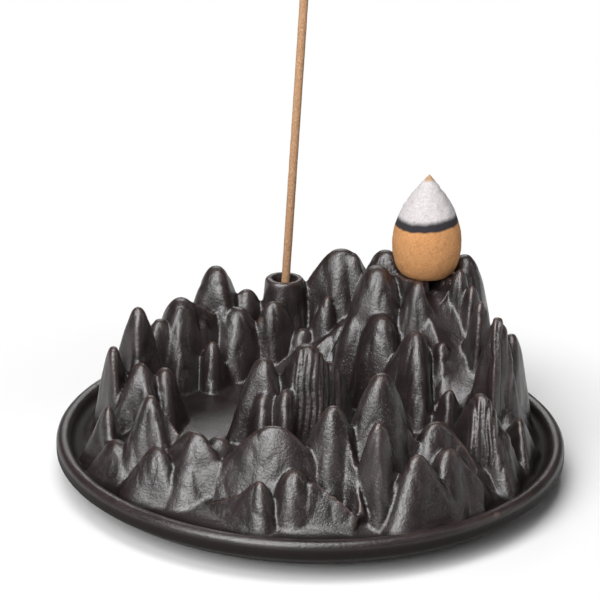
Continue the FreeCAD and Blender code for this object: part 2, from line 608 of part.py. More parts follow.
def make_incense_cone(doc, size):
    """The incense cone: flat base, rounded belly, pointed top and a blind hole from below."""
    swell = size("cone_belly") - size("cone_base")
    upper = size("cone_height") - size("cone_belly_height")
    corners = [(0, size("cone_bore_depth")), (size("cone_bore"), size("cone_bore_depth")),
               (size("cone_bore"), 0), (size("cone_base"), 0)]
    for band in range(1, CONE_BANDS + 1):
        angle = math.pi / 2 * band / CONE_BANDS
        out = size("cone_base") + math.sin(angle) * swell
        corners.append((out, (1 - math.cos(angle)) * size("cone_belly_height")))
    for band in range(1, CONE_BANDS):
        share = band / CONE_BANDS
        height = size("cone_belly_height") + share * upper
        corners.append(((1 - share ** 2) * size("cone_belly"), height))
    corners.append((0, size("cone_height")))
    cone = turned_body(doc, "incense_cone", corners)
    bind_place(cone, size("seat_x"), size("seat_y"), size("floor_height") + size("seat_rise"))
    return cone


def make_incense_stick(doc, size):
    """The stick stands in the bore and leans as far as the bore lets it."""
    stick = doc.addObject("Part::Cylinder", "incense_stick")
    bind(stick, "Radius", size("stick_radius"))
    bind(stick, "Height", size("stick_length"))
    bore_floor = size("floor_height") + size("cup_rise") - size("bore_depth")
    lean = size("stick_lean")
    stick.Placement.Rotation = FreeCAD.Rotation(Vector(0, 1, 0), lean.value)
    bind(stick, "Placement.Rotation.Angle", lean)
    shift = Size(0, "%s - %s * sin(%s * 1deg) / 2" % (
        size("cup_x").text, size("bore_depth").text, lean.text))
    rise = Size(0, "%s + %s + %s * sin(%s * 1deg)" % (
        bore_floor.text, size("stick_lift").text, size("stick_radius").text, lean.text))
    bind_place(stick, shift, size("cup_y"), rise)
    return stick


def check_and_write(doc, nodes):
    """Stop at any failed object or bad solid, and otherwise write each sub-part's file."""
    doc.recompute()
    for item in doc.Objects:
        if {"Invalid", "Error"} & set(item.State):
            raise RuntimeError("%s failed: %s" % (item.Name, item.State))
    for node in nodes:
        shape = node.Shape
        if shape.isNull() or not shape.isValid():
            raise RuntimeError("%s has no valid solid" % node.Label)
        print(node.Label, "solids", len(shape.Solids), "volume", round(shape.Volume, 1), shape.BoundBox)
    os.makedirs("parts", exist_ok=True)
    for node in nodes:
        node.Shape.exportStep(os.path.join("parts", node.Label + ".step"))


def main():
    doc = FreeCAD.newDocument("backflow_incense_burner")
    size = fill_sheet(doc)
    nodes = [make_burner(doc, size), make_incense_cone(doc, size), make_incense_stick(doc, size)]
    check_and_write(doc, nodes)


main()
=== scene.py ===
"""Looks of the backflow incense burner: glazed casting, incense cone and incense stick."""
import bmesh
import bpy
import math
from collections import namedtuple
from mathutils import Matrix, Vector, noise


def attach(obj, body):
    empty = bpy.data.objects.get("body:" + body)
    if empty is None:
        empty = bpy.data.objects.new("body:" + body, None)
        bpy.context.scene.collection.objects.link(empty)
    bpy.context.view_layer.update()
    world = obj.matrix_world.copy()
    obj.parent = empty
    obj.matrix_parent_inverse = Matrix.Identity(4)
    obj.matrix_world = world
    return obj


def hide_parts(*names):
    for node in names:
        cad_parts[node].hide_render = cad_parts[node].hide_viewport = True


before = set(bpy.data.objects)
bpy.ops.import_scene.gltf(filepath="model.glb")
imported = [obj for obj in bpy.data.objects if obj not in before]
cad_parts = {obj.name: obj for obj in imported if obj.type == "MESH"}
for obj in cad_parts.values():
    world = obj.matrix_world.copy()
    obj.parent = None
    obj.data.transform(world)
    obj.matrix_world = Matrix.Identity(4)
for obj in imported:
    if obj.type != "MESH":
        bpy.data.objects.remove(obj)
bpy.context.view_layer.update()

MM = 0.001

# Points of a mesh that lie closer than this, in mm, become one.
WELD = 1e-4

# Corners round each turned solid.
DISH_CORNERS = 160
GROUND_CORNERS = 176
SEAT_CORNERS = 72
CUP_CORNERS = 48
PEAK_CORNERS = 48
CONE_CORNERS = 96
STICK_CORNERS = 24

# The dish, in mm from the centre of the foot ring.
DISH_RADIUS = 60.0
RIM_HEIGHT = 10.0
RIM_ROLL = 1.7
BAND_HEIGHT = 6.2
FOOT_RADIUS = 45.5
FOOT_WIDTH = 4.5
FOOT_RECESS = 1.6
FOOT_FILLET = 0.6
FOOT_EDGE_WIDTH = 0.7
FOOT_EDGE_HEIGHT = 0.5
FLOOR_HEIGHT = 7.5
GUTTER_SLOPE = 1.0
GUTTER_FILLET_OUT = 0.3
GUTTER_FILLET_IN = 0.5
GUTTER_FILLET_RISE = 0.25
BELLY_STEPS = 12
RIM_STEPS = 12

# How deep every solid on the floor is rooted in it, in mm.
ROOT_DEPTH = 1.5

# The ground inside the gutter, in mm; heights are above the floor.
BANK_FOOT = 51.3
BANK_FLARE = 2.4
BANK_CREST = 42.5
POOL_RADIUS = 33.0
BANK_RISE = 6.0
POOL_RISE = 3.5

# The bank's height half-way down and at its foot, as shares of its rise.
BANK_MIDDLE = 0.64
BANK_TOE = 0.14

# How far the ground's edges wind, in mm, how much of it the slopes and the crest take, and the two
# waves of it (number round the dish, size, shift).
BANK_WAVE = 1.1
SLOPE_WINDING = 0.6
CREST_WINDING = 0.3
BANK_WAVES = ((7, 1.0, 0.0), (12, 0.5, 1.0))

# The incense cone, in mm.
CONE_HEIGHT = 25.4
CONE_BASE = 4.7
CONE_BELLY = 8.4
CONE_BELLY_HEIGHT = 8.1
CONE_BORE = 1.5
CONE_BORE_DEPTH = 15.0
CONE_CHAMFER = 0.4

# How far round its quarter ellipse the cone's belly starts, as a share; how fast the side turns in above
# the belly, and how far it is drawn in towards the tip.
BELLY_START = 0.06
CONE_SHOULDER = 2.0
CONE_DRAW = 0.14
CONE_LOWER_STEPS = 24
CONE_UPPER_STEPS = 48

# The cone's skin: lumps and grains (depth and size, in mm), how much the ash swells them, how high
# above the base they reach their full depth and how far from the bore they start.
CONE_LUMP = (0.10, 2.2)
CONE_GRAIN = (0.05, 0.8)
ASH_SWELL = 1.2
SKIN_START = 2.0
BORE_EDGE = 0.2

# The cone's char band, in mm above its base; how much it drops to the left and to the front; and
# between which heights the swollen ash starts.
CHAR_BOTTOM = 13.5
CHAR_TOP = 15.3
CHAR_TILT = 0.7
CHAR_NOD = 0.4
ASH_STARTS = (CHAR_BOTTOM + 1, CHAR_TOP + 2)

# The incense stick, in mm and degrees. The radius of its ends and the height of their chamfer are shares
# of its radius; so is its unevenness, and the length of its uneven parts is in mm.
STICK_RADIUS = 1.05
STICK_LENGTH = 140.0
STICK_LEAN = 2.6
STICK_LIFT = 0.1
STICK_RINGS = 140
STICK_END = 0.8
STICK_CHAMFER = 0.25
STICK_UNEVEN = 0.05
STICK_UNEVEN_LENGTH = 3.0

# The cone's seat, in mm: a round recess with a vent hole and two vent grooves (directions in degrees).
SEAT = Vector((27.0, 25.0))
SEAT_RISE = 32.7
SEAT_LIP = 0.6
SEAT_MARGIN = 1.3
SEAT_RECESS = CONE_BASE + SEAT_MARGIN
SEAT_WALL = 1.6
SEAT_EDGE = 0.3
SEAT_SPREAD = 13.0
SEAT_WAIST = 0.45
VENT_HOLE = 2.0
VENT_GROOVE = 3.0
VENT_DEPTH = 2.6
RIGHT_GROOVE = -62.0
LEFT_GROOVE = 156.0

# The stick's cup, in mm.
CUP = Vector((-7.5, 40.0))
CUP_RISE = 25.0
CUP_RADIUS = 4.9
CUP_NECK = 6.4
CUP_FOOT = 9.0
CUP_MOUTH = 2.8
CUP_FUNNEL = 3.2
BORE_RADIUS = 1.4
BORE_DEPTH = 12.0

# Heights of the cup's neck and body as shares of its rise; the rounding of its lip, in mm below the top
# and in degrees; the flats round the neck, and how deep they are as a share.
NECK_HEIGHT = 0.62
BODY_HEIGHT = 0.3
MOUTH_EDGE = 0.2
LIP_CENTRE = 0.5
LIP_START = 160
LIP_STEPS = 6
LIP_HEIGHT = 1.0
CUP_FLATS = 7
FLAT_DEPTH = 0.06

# A mountain: apex (x, y) and height above the floor, half widths of its foot along and across its long
# axis, how full its upper part is, direction of the long axis, offset of the apex from the foot's
# centre, number of ridges and how far they stand out as a share of the half width.
Peak = namedtuple("Peak", "name x y height wide deep fullness turn lean_x lean_y ridges relief")

FRONT_RANGE = (
    Peak("front_01", -46.1, -17.0, 14.2, 6.5, 5.5, 0.60, -70, 0.5, 0.5, 3, 0.20),
    Peak("front_02", -43.6, -24.0, 8.9, 8.5, 6.5, 0.72, -60, -0.5, 0.5, 3, 0.15),
    Peak("front_03", -33.7, -33.5, 11.8, 9.5, 7.0, 0.68, -40, 0.0, 0.5, 3, 0.15),
    Peak("front_04", -35.9, -24.0, 20.1, 11.5, 8.5, 0.56, -60, 0.0, 0.5, 4, 0.18),
    Peak("front_05", -25.2, -34.0, 16.1, 14.0, 8.0, 0.60, -36, 0.0, 0.5, 4, 0.18),
    Peak("front_06", -20.2, -30.0, 13.1, 7.0, 6.0, 0.90, -20, 0.0, 0.0, 3, 0.10),
    Peak("front_07", -10.5, -47.0, 10.6, 7.0, 5.0, 0.60, 165, 1.0, 0.0, 3, 0.15),
    Peak("front_08", -7.7, -39.0, 20.1, 21.0, 9.0, 0.54, -8, 0.0, 0.5, 4, 0.09),
    Peak("front_09", -3.0, -45.5, 12.7, 6.0, 7.0, 0.80, -90, 0.0, 0.5, 3, 0.06),
    Peak("front_10", 0.3, -46.5, 10.5, 8.0, 5.0, 0.60, 4, -0.5, 0.0, 3, 0.15),
    Peak("front_11", 5.0, -37.0, 24.3, 11.5, 9.5, 0.62, 0, 0.0, 0.5, 4, 0.07),
    Peak("front_12", 14.9, -42.0, 23.0, 6.6, 6.6, 0.74, -80, 0.0, 0.5, 4, 0.12),
    Peak("front_13", 15.3, -33.0, 30.6, 13.0, 11.0, 0.66, 28, 0.0, 0.5, 4, 0.07),
    Peak("front_14", 23.5, -43.0, 16.0, 10.5, 7.0, 0.52, 10, 0.0, 1.0, 3, 0.18),
    Peak("front_15", 30.5, -37.0, 14.8, 10.5, 7.5, 0.60, 33, -0.5, 0.5, 3, 0.18),
    Peak("front_16", 27.9, -32.0, 18.9, 13.0, 8.5, 0.64, 20, -0.5, 0.5, 3, 0.18),
    Peak("front_17", 38.4, -20.0, 20.8, 11.5, 9.0, 0.60, -55, 0.0, 0.5, 5, 0.18),
    Peak("front_18", 43.1, -22.0, 12.8, 8.0, 6.5, 0.60, -75, 0.0, 0.5, 3, 0.20),
    Peak("front_19", 48.3, -10.0, 10.5, 8.0, 4.8, 0.62, -85, -0.5, 0.0, 3, 0.20),
)

RIGHT_RANGE = (
    Peak("right_01", 43.0, 0.0, 31.6, 7.6, 6.6, 0.84, -95, 0.0, 0.0, 5, 0.24),
    Peak("right_02", 44.0, 2.0, 14.5, 15.0, 9.0, 0.66, 90, 0.0, 0.0, 5, 0.12),
    Peak("right_03", 47.2, 8.0, 24.4, 7.5, 5.8, 0.90, -90, 0.0, 0.0, 3, 0.18),
    Peak("right_04", 39.6, 10.0, 31.8, 7.0, 6.2, 0.74, -100, 0.0, 0.0, 4, 0.20),
    Peak("right_05", 37.9, 17.0, 33.0, 7.5, 6.4, 0.74, -100, 0.0, 0.0, 4, 0.20),
    Peak("right_06", 35.0, 20.0, 35.9, 7.5, 7.0, 0.80, -80, 0.0, 0.0, 4, 0.18),
    Peak("right_07", 36.7, 28.0, 37.0, 11.0, 10.0, 0.90, 120, 0.0, 0.0, 4, 0.12),
)

SUMMIT = (
    Peak("summit_01", 17.6, 35.0, 35.2, 12.0, 10.0, 0.90, 150, 0.0, 0.0, 4, 0.12),
    Peak("summit_02", 15.2, 22.0, 35.8, 14.0, 13.0, 0.84, -60, -1.0, 1.0, 4, 0.12),
    Peak("summit_03", 25.0, 17.0, 33.7, 12.5, 10.5, 0.60, -30, -1.0, 1.0, 3, 0.20),
    Peak("summit_04", 16.4, 14.5, 26.0, 9.5, 8.0, 1.06, -60, 0.0, 0.5, 4, 0.08),
    Peak("summit_05", 10.2, 18.0, 24.8, 7.5, 7.0, 0.90, 90, 0.0, 0.0, 3, 0.10),
    Peak("summit_06", 24.3, 6.0, 25.2, 9.5, 8.0, 0.90, -72, 1.0, 1.0, 3, 0.28),
    Peak("summit_07", 30.9, 8.0, 21.7, 5.0, 5.0, 0.90, -100, 0.0, 0.0, 3, 0.25),
    Peak("summit_08", 14.0, 12.0, 14.5, 6.5, 6.0, 0.90, 60, 0.0, 0.0, 3, 0.12),
    Peak("summit_09", 32.2, -4.0, 14.8, 4.6, 4.6, 0.90, -95, 0.0, 0.0, 3, 0.25),
    Peak("summit_10", 27.0, 39.5, 30.5, 11.0, 9.0, 0.90, 145, 0.0, 0.0, 4, 0.10),
    Peak("summit_11", 37.0, 37.0, 22.5, 10.0, 7.0, 0.88, 130, 0.0, 0.0, 4, 0.10),
    Peak("summit_12", 45.0, 20.0, 19.5, 10.0, 6.0, 0.88, 110, 0.0, 0.0, 4, 0.10),
)

BACK_RANGE = (
    Peak("back_01", 6.6, 41.0, 33.1, 15.0, 9.5, 0.86, 0, 0.0, 0.0, 4, 0.22),
    Peak("back_02", 9.4, 40.5, 32.3, 9.5, 8.0, 0.90, -60, 0.0, 0.0, 4, 0.18),
    Peak("back_03", 3.5, 33.0, 23.5, 5.0, 5.5, 0.90, -60, 2.5, 2.0, 3, 0.22),
    Peak("back_04", -2.5, 31.0, 15.5, 6.0, 5.0, 0.90, 0, 1.0, 1.0, 3, 0.12),
    Peak("back_05", -9.9, 31.5, 22.3, 7.8, 5.6, 0.98, 10, 0.0, 0.5, 4, 0.12),
    Peak("back_06", -19.0, 31.0, 20.6, 8.0, 9.6, 0.94, -105, 0.0, 1.0, 3, 0.14),
    Peak("back_07", -17.0, 38.0, 22.9, 8.5, 7.0, 0.90, 20, 0.0, 0.0, 4, 0.10),
    Peak("back_08", -24.5, 36.0, 29.6, 11.0, 9.5, 0.90, -60, 0.0, 0.0, 4, 0.20),
    Peak("back_09", -24.6, 21.0, 15.4, 6.4, 6.0, 0.66, -90, 0.0, 0.0, 3, 0.15),
)

LEFT_RANGE = (
    Peak("left_01", -32.7, 27.0, 24.2, 13.0, 10.0, 0.88, -90, 0.0, 0.0, 3, 0.14),
    Peak("left_02", -27.6, 27.5, 19.0, 7.0, 6.0, 0.86, -90, 0.0, 0.0, 3, 0.16),
    Peak("left_03", -37.6, 22.0, 20.5, 9.0, 7.5, 0.78, 60, 0.0, 0.0, 4, 0.10),
    Peak("left_04", -41.2, 5.0, 30.1, 8.5, 8.0, 0.76, -85, 0.0, 0.0, 4, 0.22),
    Peak("left_05", -42.5, 3.0, 14.5, 14.0, 9.0, 0.68, 90, 0.0, 0.0, 5, 0.12),
    Peak("left_06", -46.4, -2.0, 22.8, 6.5, 4.8, 0.85, -80, 0.0, 0.0, 3, 0.22),
    Peak("left_07", -39.7, -5.0, 20.0, 9.0, 8.0, 0.75, -60, 0.0, 1.0, 4, 0.22),
    Peak("left_08", -34.4, -3.0, 18.1, 7.0, 6.5, 0.85, -75, 0.0, 0.0, 3, 0.22),
)

ISLAND = (
    Peak("island_01", -1.2, -8.0, 26.9, 10.5, 10.0, 0.90, 0, 0.0, 0.0, 6, 0.08),
    Peak("island_02", -11.0, -8.0, 23.2, 8.5, 8.0, 0.90, -60, 1.0, 0.0, 4, 0.20),
    Peak("island_03", -5.8, -13.5, 17.8, 6.0, 5.5, 0.90, -90, 0.0, 0.5, 3, 0.18),
    Peak("island_04", -10.8, -12.5, 16.2, 5.5, 5.5, 0.90, -95, 0.0, 1.0, 3, 0.20),
    Peak("island_05", 4.0, -6.0, 21.9, 7.5, 7.0, 0.90, 30, 0.0, 0.0, 4, 0.10),
)

MOUNTAINS = FRONT_RANGE + RIGHT_RANGE + SUMMIT + BACK_RANGE + LEFT_RANGE + ISLAND

# The mountains with upright flutes, and how far from the apex these reach, in mm.
FLUTE_REACH = {"front_17": 9.0, "right_01": 6.0, "island_01": 10.0}
FLUTED = [(peak, FLUTE_REACH[peak.name]) for peak in MOUNTAINS if peak.name in FLUTE_REACH]

# A mountain's outline: its rings and how they crowd towards the tip, how its foot flares, how blunt its
# tip is and how round its ridges are, as powers.
PEAK_RINGS = 22
RING_CROWDING = 1.5
FOOT_FLARE = 1.2
TIP_BLUNTNESS = 0.43
RIDGE_ROUNDING = 1.7

# A place on a stream bed: centre (x, y), height above the floor, half width of the bed.
Station = namedtuple("Station", "x y height half_width")

STREAMS = {
    "right_stream": (
        Station(29.3, 18.2, 30.0, 3.0),
        Station(31.6, 14.0, 25.0, 3.6),
        Station(34.2, 9.5, 20.0, 4.2),
        Station(36.2, 4.5, 15.0, 5.0),
        Station(35.5, -1.0, 10.5, 5.5),
        Station(31.5, -6.0, 6.5, 6.5),
        Station(25.0, -10.0, 3.0, 7.0),
    ),
    "left_stream": (
        Station(16.0, 29.5, 27.0, 3.0),
        Station(11.0, 32.0, 20.0, 4.0),
        Station(4.0, 33.0, 15.5, 5.0),
        Station(-4.0, 30.0, 11.0, 5.5),
        Station(-11.0, 25.0, 7.0, 6.0),
        Station(-17.0, 18.0, 3.0, 7.0),
    ),
}

# A place on a spur's crest: centre (x, y) and height above the floor.
Crest = namedtuple("Crest", "x y height")

SPURS = {
    "spur_01": (Crest(-42.8, -24.0, 8.7), Crest(-40.4, -26.0, 7.4), Crest(-37.4, -29.5, 4.9),
                Crest(-34.6, -33.5, 2.2)),
    "spur_02": (Crest(-33.5, -33.5, 11.6), Crest(-31.5, -34.0, 9.7), Crest(-29.0, -35.0, 6.8),
                Crest(-25.8, -36.5, 4.7)),
    "spur_03": (Crest(-36.0, -24.0, 19.9), Crest(-33.7, -25.0, 18.0), Crest(-31.4, -26.0, 15.0),
                Crest(-29.0, -27.5, 11.9)),
    "spur_04": (Crest(-24.8, -34.0, 15.7), Crest(-22.4, -34.5, 14.0), Crest(-19.7, -35.0, 11.4),
                Crest(-17.0, -36.0, 9.5)),
    "spur_05": (Crest(-7.6, -39.0, 19.8), Crest(-11.9, -38.6, 15.7), Crest(-16.3, -37.6, 10.3),
                Crest(-22.5, -35.5, 5.0), Crest(-26.8, -34.0, 2.2)),
    "spur_06": (Crest(-7.1, -39.2, 19.9), Crest(-2.7, -40.0, 14.9), Crest(0.6, -41.0, 13.1),
                Crest(3.9, -42.0, 10.8)),
    "spur_07": (Crest(-10.0, -47.0, 10.4), Crest(-13.0, -46.3, 8.8), Crest(-16.7, -45.0, 5.9),
                Crest(-21.4, -43.0, 3.3), Crest(-25.9, -40.5, 1.5)),
    "spur_08": (Crest(-0.1, -46.5, 10.4), Crest(2.5, -47.0, 9.8), Crest(6.2, -48.0, 7.5),
                Crest(10.8, -49.5, 3.8)),
    "spur_09": (Crest(5.4, -37.0, 23.8), Crest(7.4, -38.5, 21.2), Crest(9.0, -41.0, 16.4),
                Crest(10.5, -44.5, 10.2), Crest(11.6, -48.5, 5.0)),
    "spur_10": (Crest(15.6, -33.0, 30.2), Crest(18.9, -33.5, 25.2), Crest(21.2, -34.0, 19.3),
                Crest(24.0, -35.0, 15.0), Crest(26.5, -36.0, 11.9)),
    "spur_11": (Crest(23.5, -43.0, 15.3), Crest(21.4, -43.5, 13.6), Crest(19.1, -45.0, 10.2),
                Crest(17.2, -47.5, 5.9)),
    "spur_12": (Crest(24.4, -42.4, 14.6), Crest(26.0, -43.1, 13.0), Crest(28.7, -43.4, 8.8),
                Crest(31.4, -43.3, 4.0)),
    "spur_13": (Crest(30.3, -37.0, 14.2), Crest(33.4, -37.0, 12.5), Crest(36.2, -36.8, 9.5),
                Crest(38.5, -36.3, 6.5)),
    "spur_14": (Crest(27.9, -32.0, 18.6), Crest(30.8, -32.5, 17.2), Crest(34.2, -33.0, 14.1),
                Crest(37.3, -34.0, 9.1)),
    "spur_15": (Crest(-32.9, 27.5, 23.3), Crest(-29.4, 28.2, 22.9), Crest(-26.6, 29.0, 21.4),
                Crest(-23.9, 30.0, 18.6)),
    "spur_16": (Crest(5.5, 41.0, 32.8), Crest(1.3, 41.0, 29.3), Crest(-1.6, 41.0, 25.1),
                Crest(-3.6, 40.0, 21.7)),
}

# Steps between two stations of a stream or a spur.
LEG_STEPS = 5

# A stream bed: its bank's rise over run, and how far its middle sags, in mm.
STREAM_BANK = 1.6
STREAM_SAG = 0.8

# A spur: half width of its foot at no height, in mm, and what each mm of height adds to it. Its hollow
# flank runs through shares of the half width and of the height.
SPUR_FOOT = 1.6
SPUR_SLOPE = 0.50
SPUR_FLANK = ((0.0, 1.0), (0.15, 0.80), (0.40, 0.45))

# The round channel that leads from the cone's seat into each stream: half width, depth and reach in mm,
# and its fall per mm.
CHANNEL_HALF_WIDTH = 3.4
CHANNEL_DEPTH = 3.2
CHANNEL_REACH = 13.0
CHANNEL_FALL = 0.5

# The casting's mesh: size of its cells in mm, strength and rounds of its smoothing, and the triangles
# that are left of it.
CLAY_GRAIN = 0.42
CLAY_SMOOTHING = 0.5
SMOOTHING_ROUNDS = 4
MOST_TRIANGLES = 190000

# Where the hand carving starts and where it is in full: steepness of the clay (one less the height of its
# normal) and height above the floor in mm. Then how far from the dish's centre it fades out, in mm.
STEEP_FROM = 0.05
STEEP_TO = 0.45
CARVED_FROM = 0.5
CARVED_TO = 5.0
CARVING_ENDS = (52.5, 54.0)

# The hand carving, in mm: lumps, creases, fine creases and flutes. A crease's sharpness is a factor, and
# the levels say which part of a crease or a flute stays where it is.
LUMP_SIZE = 6.0
LUMP_DEPTH = 0.12
CREASE_WIDTH = 3.4
CREASE_LENGTH = 13.0
CREASE_DEPTH = 0.18
CREASE_SHARPNESS = 3.2
CREASE_LEVEL = 0.75
FINE_WIDTH = 1.7
FINE_LENGTH = 7.0
FINE_DEPTH = 0.03
FINE_SHIFT = 5.0
FLUTE_WIDTH = 1.4
FLUTE_DEPTH = 0.42
FLUTE_LEVEL = 0.6

# The flutes: the share of the mountain's height where they start, how far they wander, and the shares of
# their reach where they start on the left and fade outwards.
FLUTE_START = 0.3
FLUTE_WANDER = 0.5
WANDER_WIDTH = 5.0
WANDER_LENGTH = 9.0
FLUTE_LEFT = 0.5
FLUTE_FADE = 0.7

# The photograph's camera: the picture's side in pixels; its distance from the rim's centre in mm, how high
# it stands, in degrees, and its step aside in mm; its angles in degrees; its focal length in pixels, its
# sensor's width in mm and the farthest place it sees, in m.
PHOTO_SIDE = 600
CAMERA_DISTANCE = 500.0
CAMERA_RISE = 24.165
CAMERA_SIDESTEP = 1.7
CAMERA_YAW = 0.604
CAMERA_PITCH = 20.717
CAMERA_ROLL = 1.137
CAMERA_FOCUS = 2103.6
SENSOR = 36.0
FARTHEST_SEEN = 20.0

# The glaze's patterns: sizes in mm of clouds, ripple, peel and pits, and between which values of the noise
# clouds and pits come in.
CLOUD_SIZE = 7.0
RIPPLE_SIZE = 2.8
PEEL_SIZE = 0.60
PIT_SIZE = 0.40
CLOUD_RANGE = (0.35, 0.65)
PIT_RANGE = (0.60, 0.74)

# The glaze's colours: dark clouds and light clouds; lighter brown on an edge, where the glaze runs thin
# and which also stands for a painted highlight; painted shade in a hollow; then the painted shade of the
# matt parts, from dark to light.
GLAZE_DARK = (0.0110, 0.0066, 0.0062, 1)
GLAZE_LIGHT = (0.0220, 0.0134, 0.0138, 1)
GLAZE_THIN_AND_HIGHLIGHT = (0.088, 0.055, 0.047, 1)
HOLLOW_SHADE_COLOUR = (0.005, 0.0030, 0.0030, 1)
PAINTED_SHADE_DARK = (0.0050, 0.0032, 0.0026, 1)
PAINTED_SHADE_LIGHT = (0.0090, 0.0060, 0.0050, 1)

# Pointiness where an edge starts to show and shows in full, and where a hollow shows in full and ends;
# how strongly the edge's thin glaze and painted highlight, and the hollow's painted shade, colour the
# glaze.
EDGE_POINTINESS = (0.505, 0.57)
HOLLOW_POINTINESS = (0.40, 0.49)
THIN_EDGE_HIGHLIGHT_STRENGTH = 0.8
HOLLOW_SHADE_STRENGTH = 0.65

# The glaze's shine and relief: heights of peel, ripple and pits, strength and depth in mm of the bump.
GLAZE_ROUGHNESS = 0.29
UNEVEN_SHINE = 0.12
GLAZE_SPECULAR = 0.95
# The roughness and specular level of the matt parts that carry painted shade.
PAINTED_SHADE_ROUGHNESS = 0.62
PAINTED_SHADE_SPECULAR = 0.16
PEEL_RELIEF = 0.9
RIPPLE_RELIEF = 0.8
PIT_RELIEF = 0.3
GLAZE_BUMP = (0.42, 0.25)

# Where the glaze is darker and matt, as painted shade: on the upright wall and the belly under the rim, in
# the gutter, and in hollows. It comes in between the radii and ends between the tops, in mm. The painted
# shades of the gutter and the hollows are strengths.
WALL_RADIUS = (DISH_RADIUS - 1.2, DISH_RADIUS - 0.5)
WALL_TOP = (7.4, 9.0)
BELLY_TOP = (5.0, 6.4)
GUTTER_RADIUS = (BANK_FOOT, BANK_FOOT + 2.5)
GUTTER_TOP = (FLOOR_HEIGHT + 0.4, RIM_HEIGHT - 0.6)
GUTTER_PAINTED_SHADE = 0.95
HOLLOW_PAINTED_SHADE = 0.6

# The cone's powder: sizes in mm of grains, lumps and the edges' wandering, and how far the edges of the
# char and of the bare tip wander.
POWDER_SIZE = 0.45
LUMPS_SIZE = 1.4
EDGE_WANDER_SIZE = 3.0
EDGE_WANDER = 0.9
TIP_WANDER = 1.2

# The powder's colours, between which values of the noise they come in, and how strongly.
TAN_DARK = (0.45, 0.200, 0.068, 1)
TAN_LIGHT = (0.62, 0.320, 0.134, 1)
TAN_RANGE = (0.25, 0.75)
TAN_SPECK = (0.30, 0.125, 0.042, 1)
TAN_SPECK_RANGE = (0.60, 0.70)
TAN_SPECK_STRENGTH = 0.35
TAN_LUMP = (0.41, 0.180, 0.060, 1)
TAN_LUMP_RANGE = (0.50, 0.75)
TAN_LUMP_STRENGTH = 0.5
ASH_DARK = (0.47, 0.44, 0.445, 1)
ASH_LIGHT = (0.62, 0.58, 0.585, 1)
ASH_RANGE = (0.30, 0.70)
ASH_LUMP = (0.30, 0.26, 0.25, 1)
ASH_LUMP_RANGE = (0.60, 0.74)
ASH_LUMP_STRENGTH = 0.6
CHAR = (0.020, 0.018, 0.022, 1)
BARE_TIP = (0.42, 0.24, 0.11, 1)
TIP_STRENGTH = 0.9

# Heights above the base, in mm, between which the char starts, the ash starts and the bare tip starts;
# then the powder's shine, and heights, strength and depth in mm of its bump.
CHAR_STARTS = (CHAR_BOTTOM - 0.35, CHAR_BOTTOM + 0.25)
CHAR_TURNS = (CHAR_TOP - 0.5, CHAR_TOP + 0.9)
TIP_STARTS = (CONE_HEIGHT - 2.0, CONE_HEIGHT - 1.2)
CONE_ROUGHNESS = 0.92
GRAIN_RELIEF = 0.6
LUMP_RELIEF = 0.8
CONE_BUMP = (0.7, 0.22)

# The stick's powder: sizes in mm, colours, between which values of the noise they come in, strength of
# the bands; its shine, and strength and depth in mm of its bump.
STICK_SPECK_SIZE = 0.4
STICK_BAND_SIZE = 4.5
STICK_DARK = (0.30, 0.16, 0.080, 1)
STICK_LIGHT = (0.52, 0.31, 0.175, 1)
STICK_RANGE = (0.3, 0.7)
STICK_BAND = (0.42, 0.23, 0.12, 1)
BAND_RANGE = (0.45, 0.70)
BAND_STRENGTH = 0.45
STICK_ROUGHNESS = 0.85
STICK_BUMP = (0.7, 0.12)

# The studio: the floor's half width in mm, its colour, how far out it turns plain white, in mm, and the
# strength of the dim white world.
FLOOR_HALF = 4000
PAPER = (0.85, 0.85, 0.85, 1)
WHITE = (1, 1, 1, 1)
WHITE_FROM = 64.0
WHITE_TO = 115.0
WORLD_LIGHT = 0.05

# The place that the lamps aim at, in m, and the lamps: name, place in m, width and height in m, power
# in W.
LAMP_AIM = Vector((0, 0, 0.02))
LAMPS = (
    ("front_softbox", (-0.24, -0.46, 0.40), (0.46, 0.44), 4.6),
    ("top_softbox", (-0.04, -0.16, 0.52), (0.30, 0.24), 1.5),
    ("right_softbox", (0.55, -0.05, 0.30), (0.06, 0.36), 0.25),
    ("back_softbox", (-0.05, 0.60, 0.40), (0.40, 0.16), 1.0),
)


def to_metres(bm):
    """Scale a mesh drawn in mm to metres."""
    bmesh.ops.scale(bm, vec=(MM, MM, MM), verts=bm.verts)


def finished(name, bm):
    """A new object from a mesh drawn in mm, smooth shaded."""
    to_metres(bm)
    mesh = bpy.data.meshes.new(name)
    bm.to_mesh(mesh)
    bm.free()
    for face in mesh.polygons:
        face.use_smooth = True
    piece = bpy.data.objects.new(name, mesh)
    bpy.context.scene.collection.objects.link(piece)
    return piece


def spun(outline, steps):
    """A closed turned solid from its half section, (radius, height) from axis to axis."""
    bm = bmesh.new()
    chain = [bm.verts.new((radius, 0, height)) for radius, height in outline]
    edges = [bm.edges.new(pair) for pair in zip(chain, chain[1:])]
    bmesh.ops.spin(
        bm, geom=chain + edges, cent=(0, 0, 0), axis=(0, 0, 1), angle=2 * math.pi,
        steps=steps, use_merge=True,
    )
    bmesh.ops.remove_doubles(bm, verts=bm.verts, dist=WELD)
    bmesh.ops.recalc_face_normals(bm, faces=bm.faces)
    return bm


def add_to(bm, part):
    """Move all of one mesh into another."""
    mesh = bpy.data.meshes.new("part")
    part.to_mesh(mesh)
    part.free()
    bm.from_mesh(mesh)
    bpy.data.meshes.remove(mesh)


def arc(centre_radius, centre_height, radius, first, last, steps):
    """Points of an arc in a half section; angles in degrees from outwards."""
    points = []
    for step in range(steps + 1):
        angle = math.radians(first + (last - first) * step / steps)
        points.append(
            (centre_radius + radius * math.cos(angle), centre_height + radius * math.sin(angle))
        )
    return points


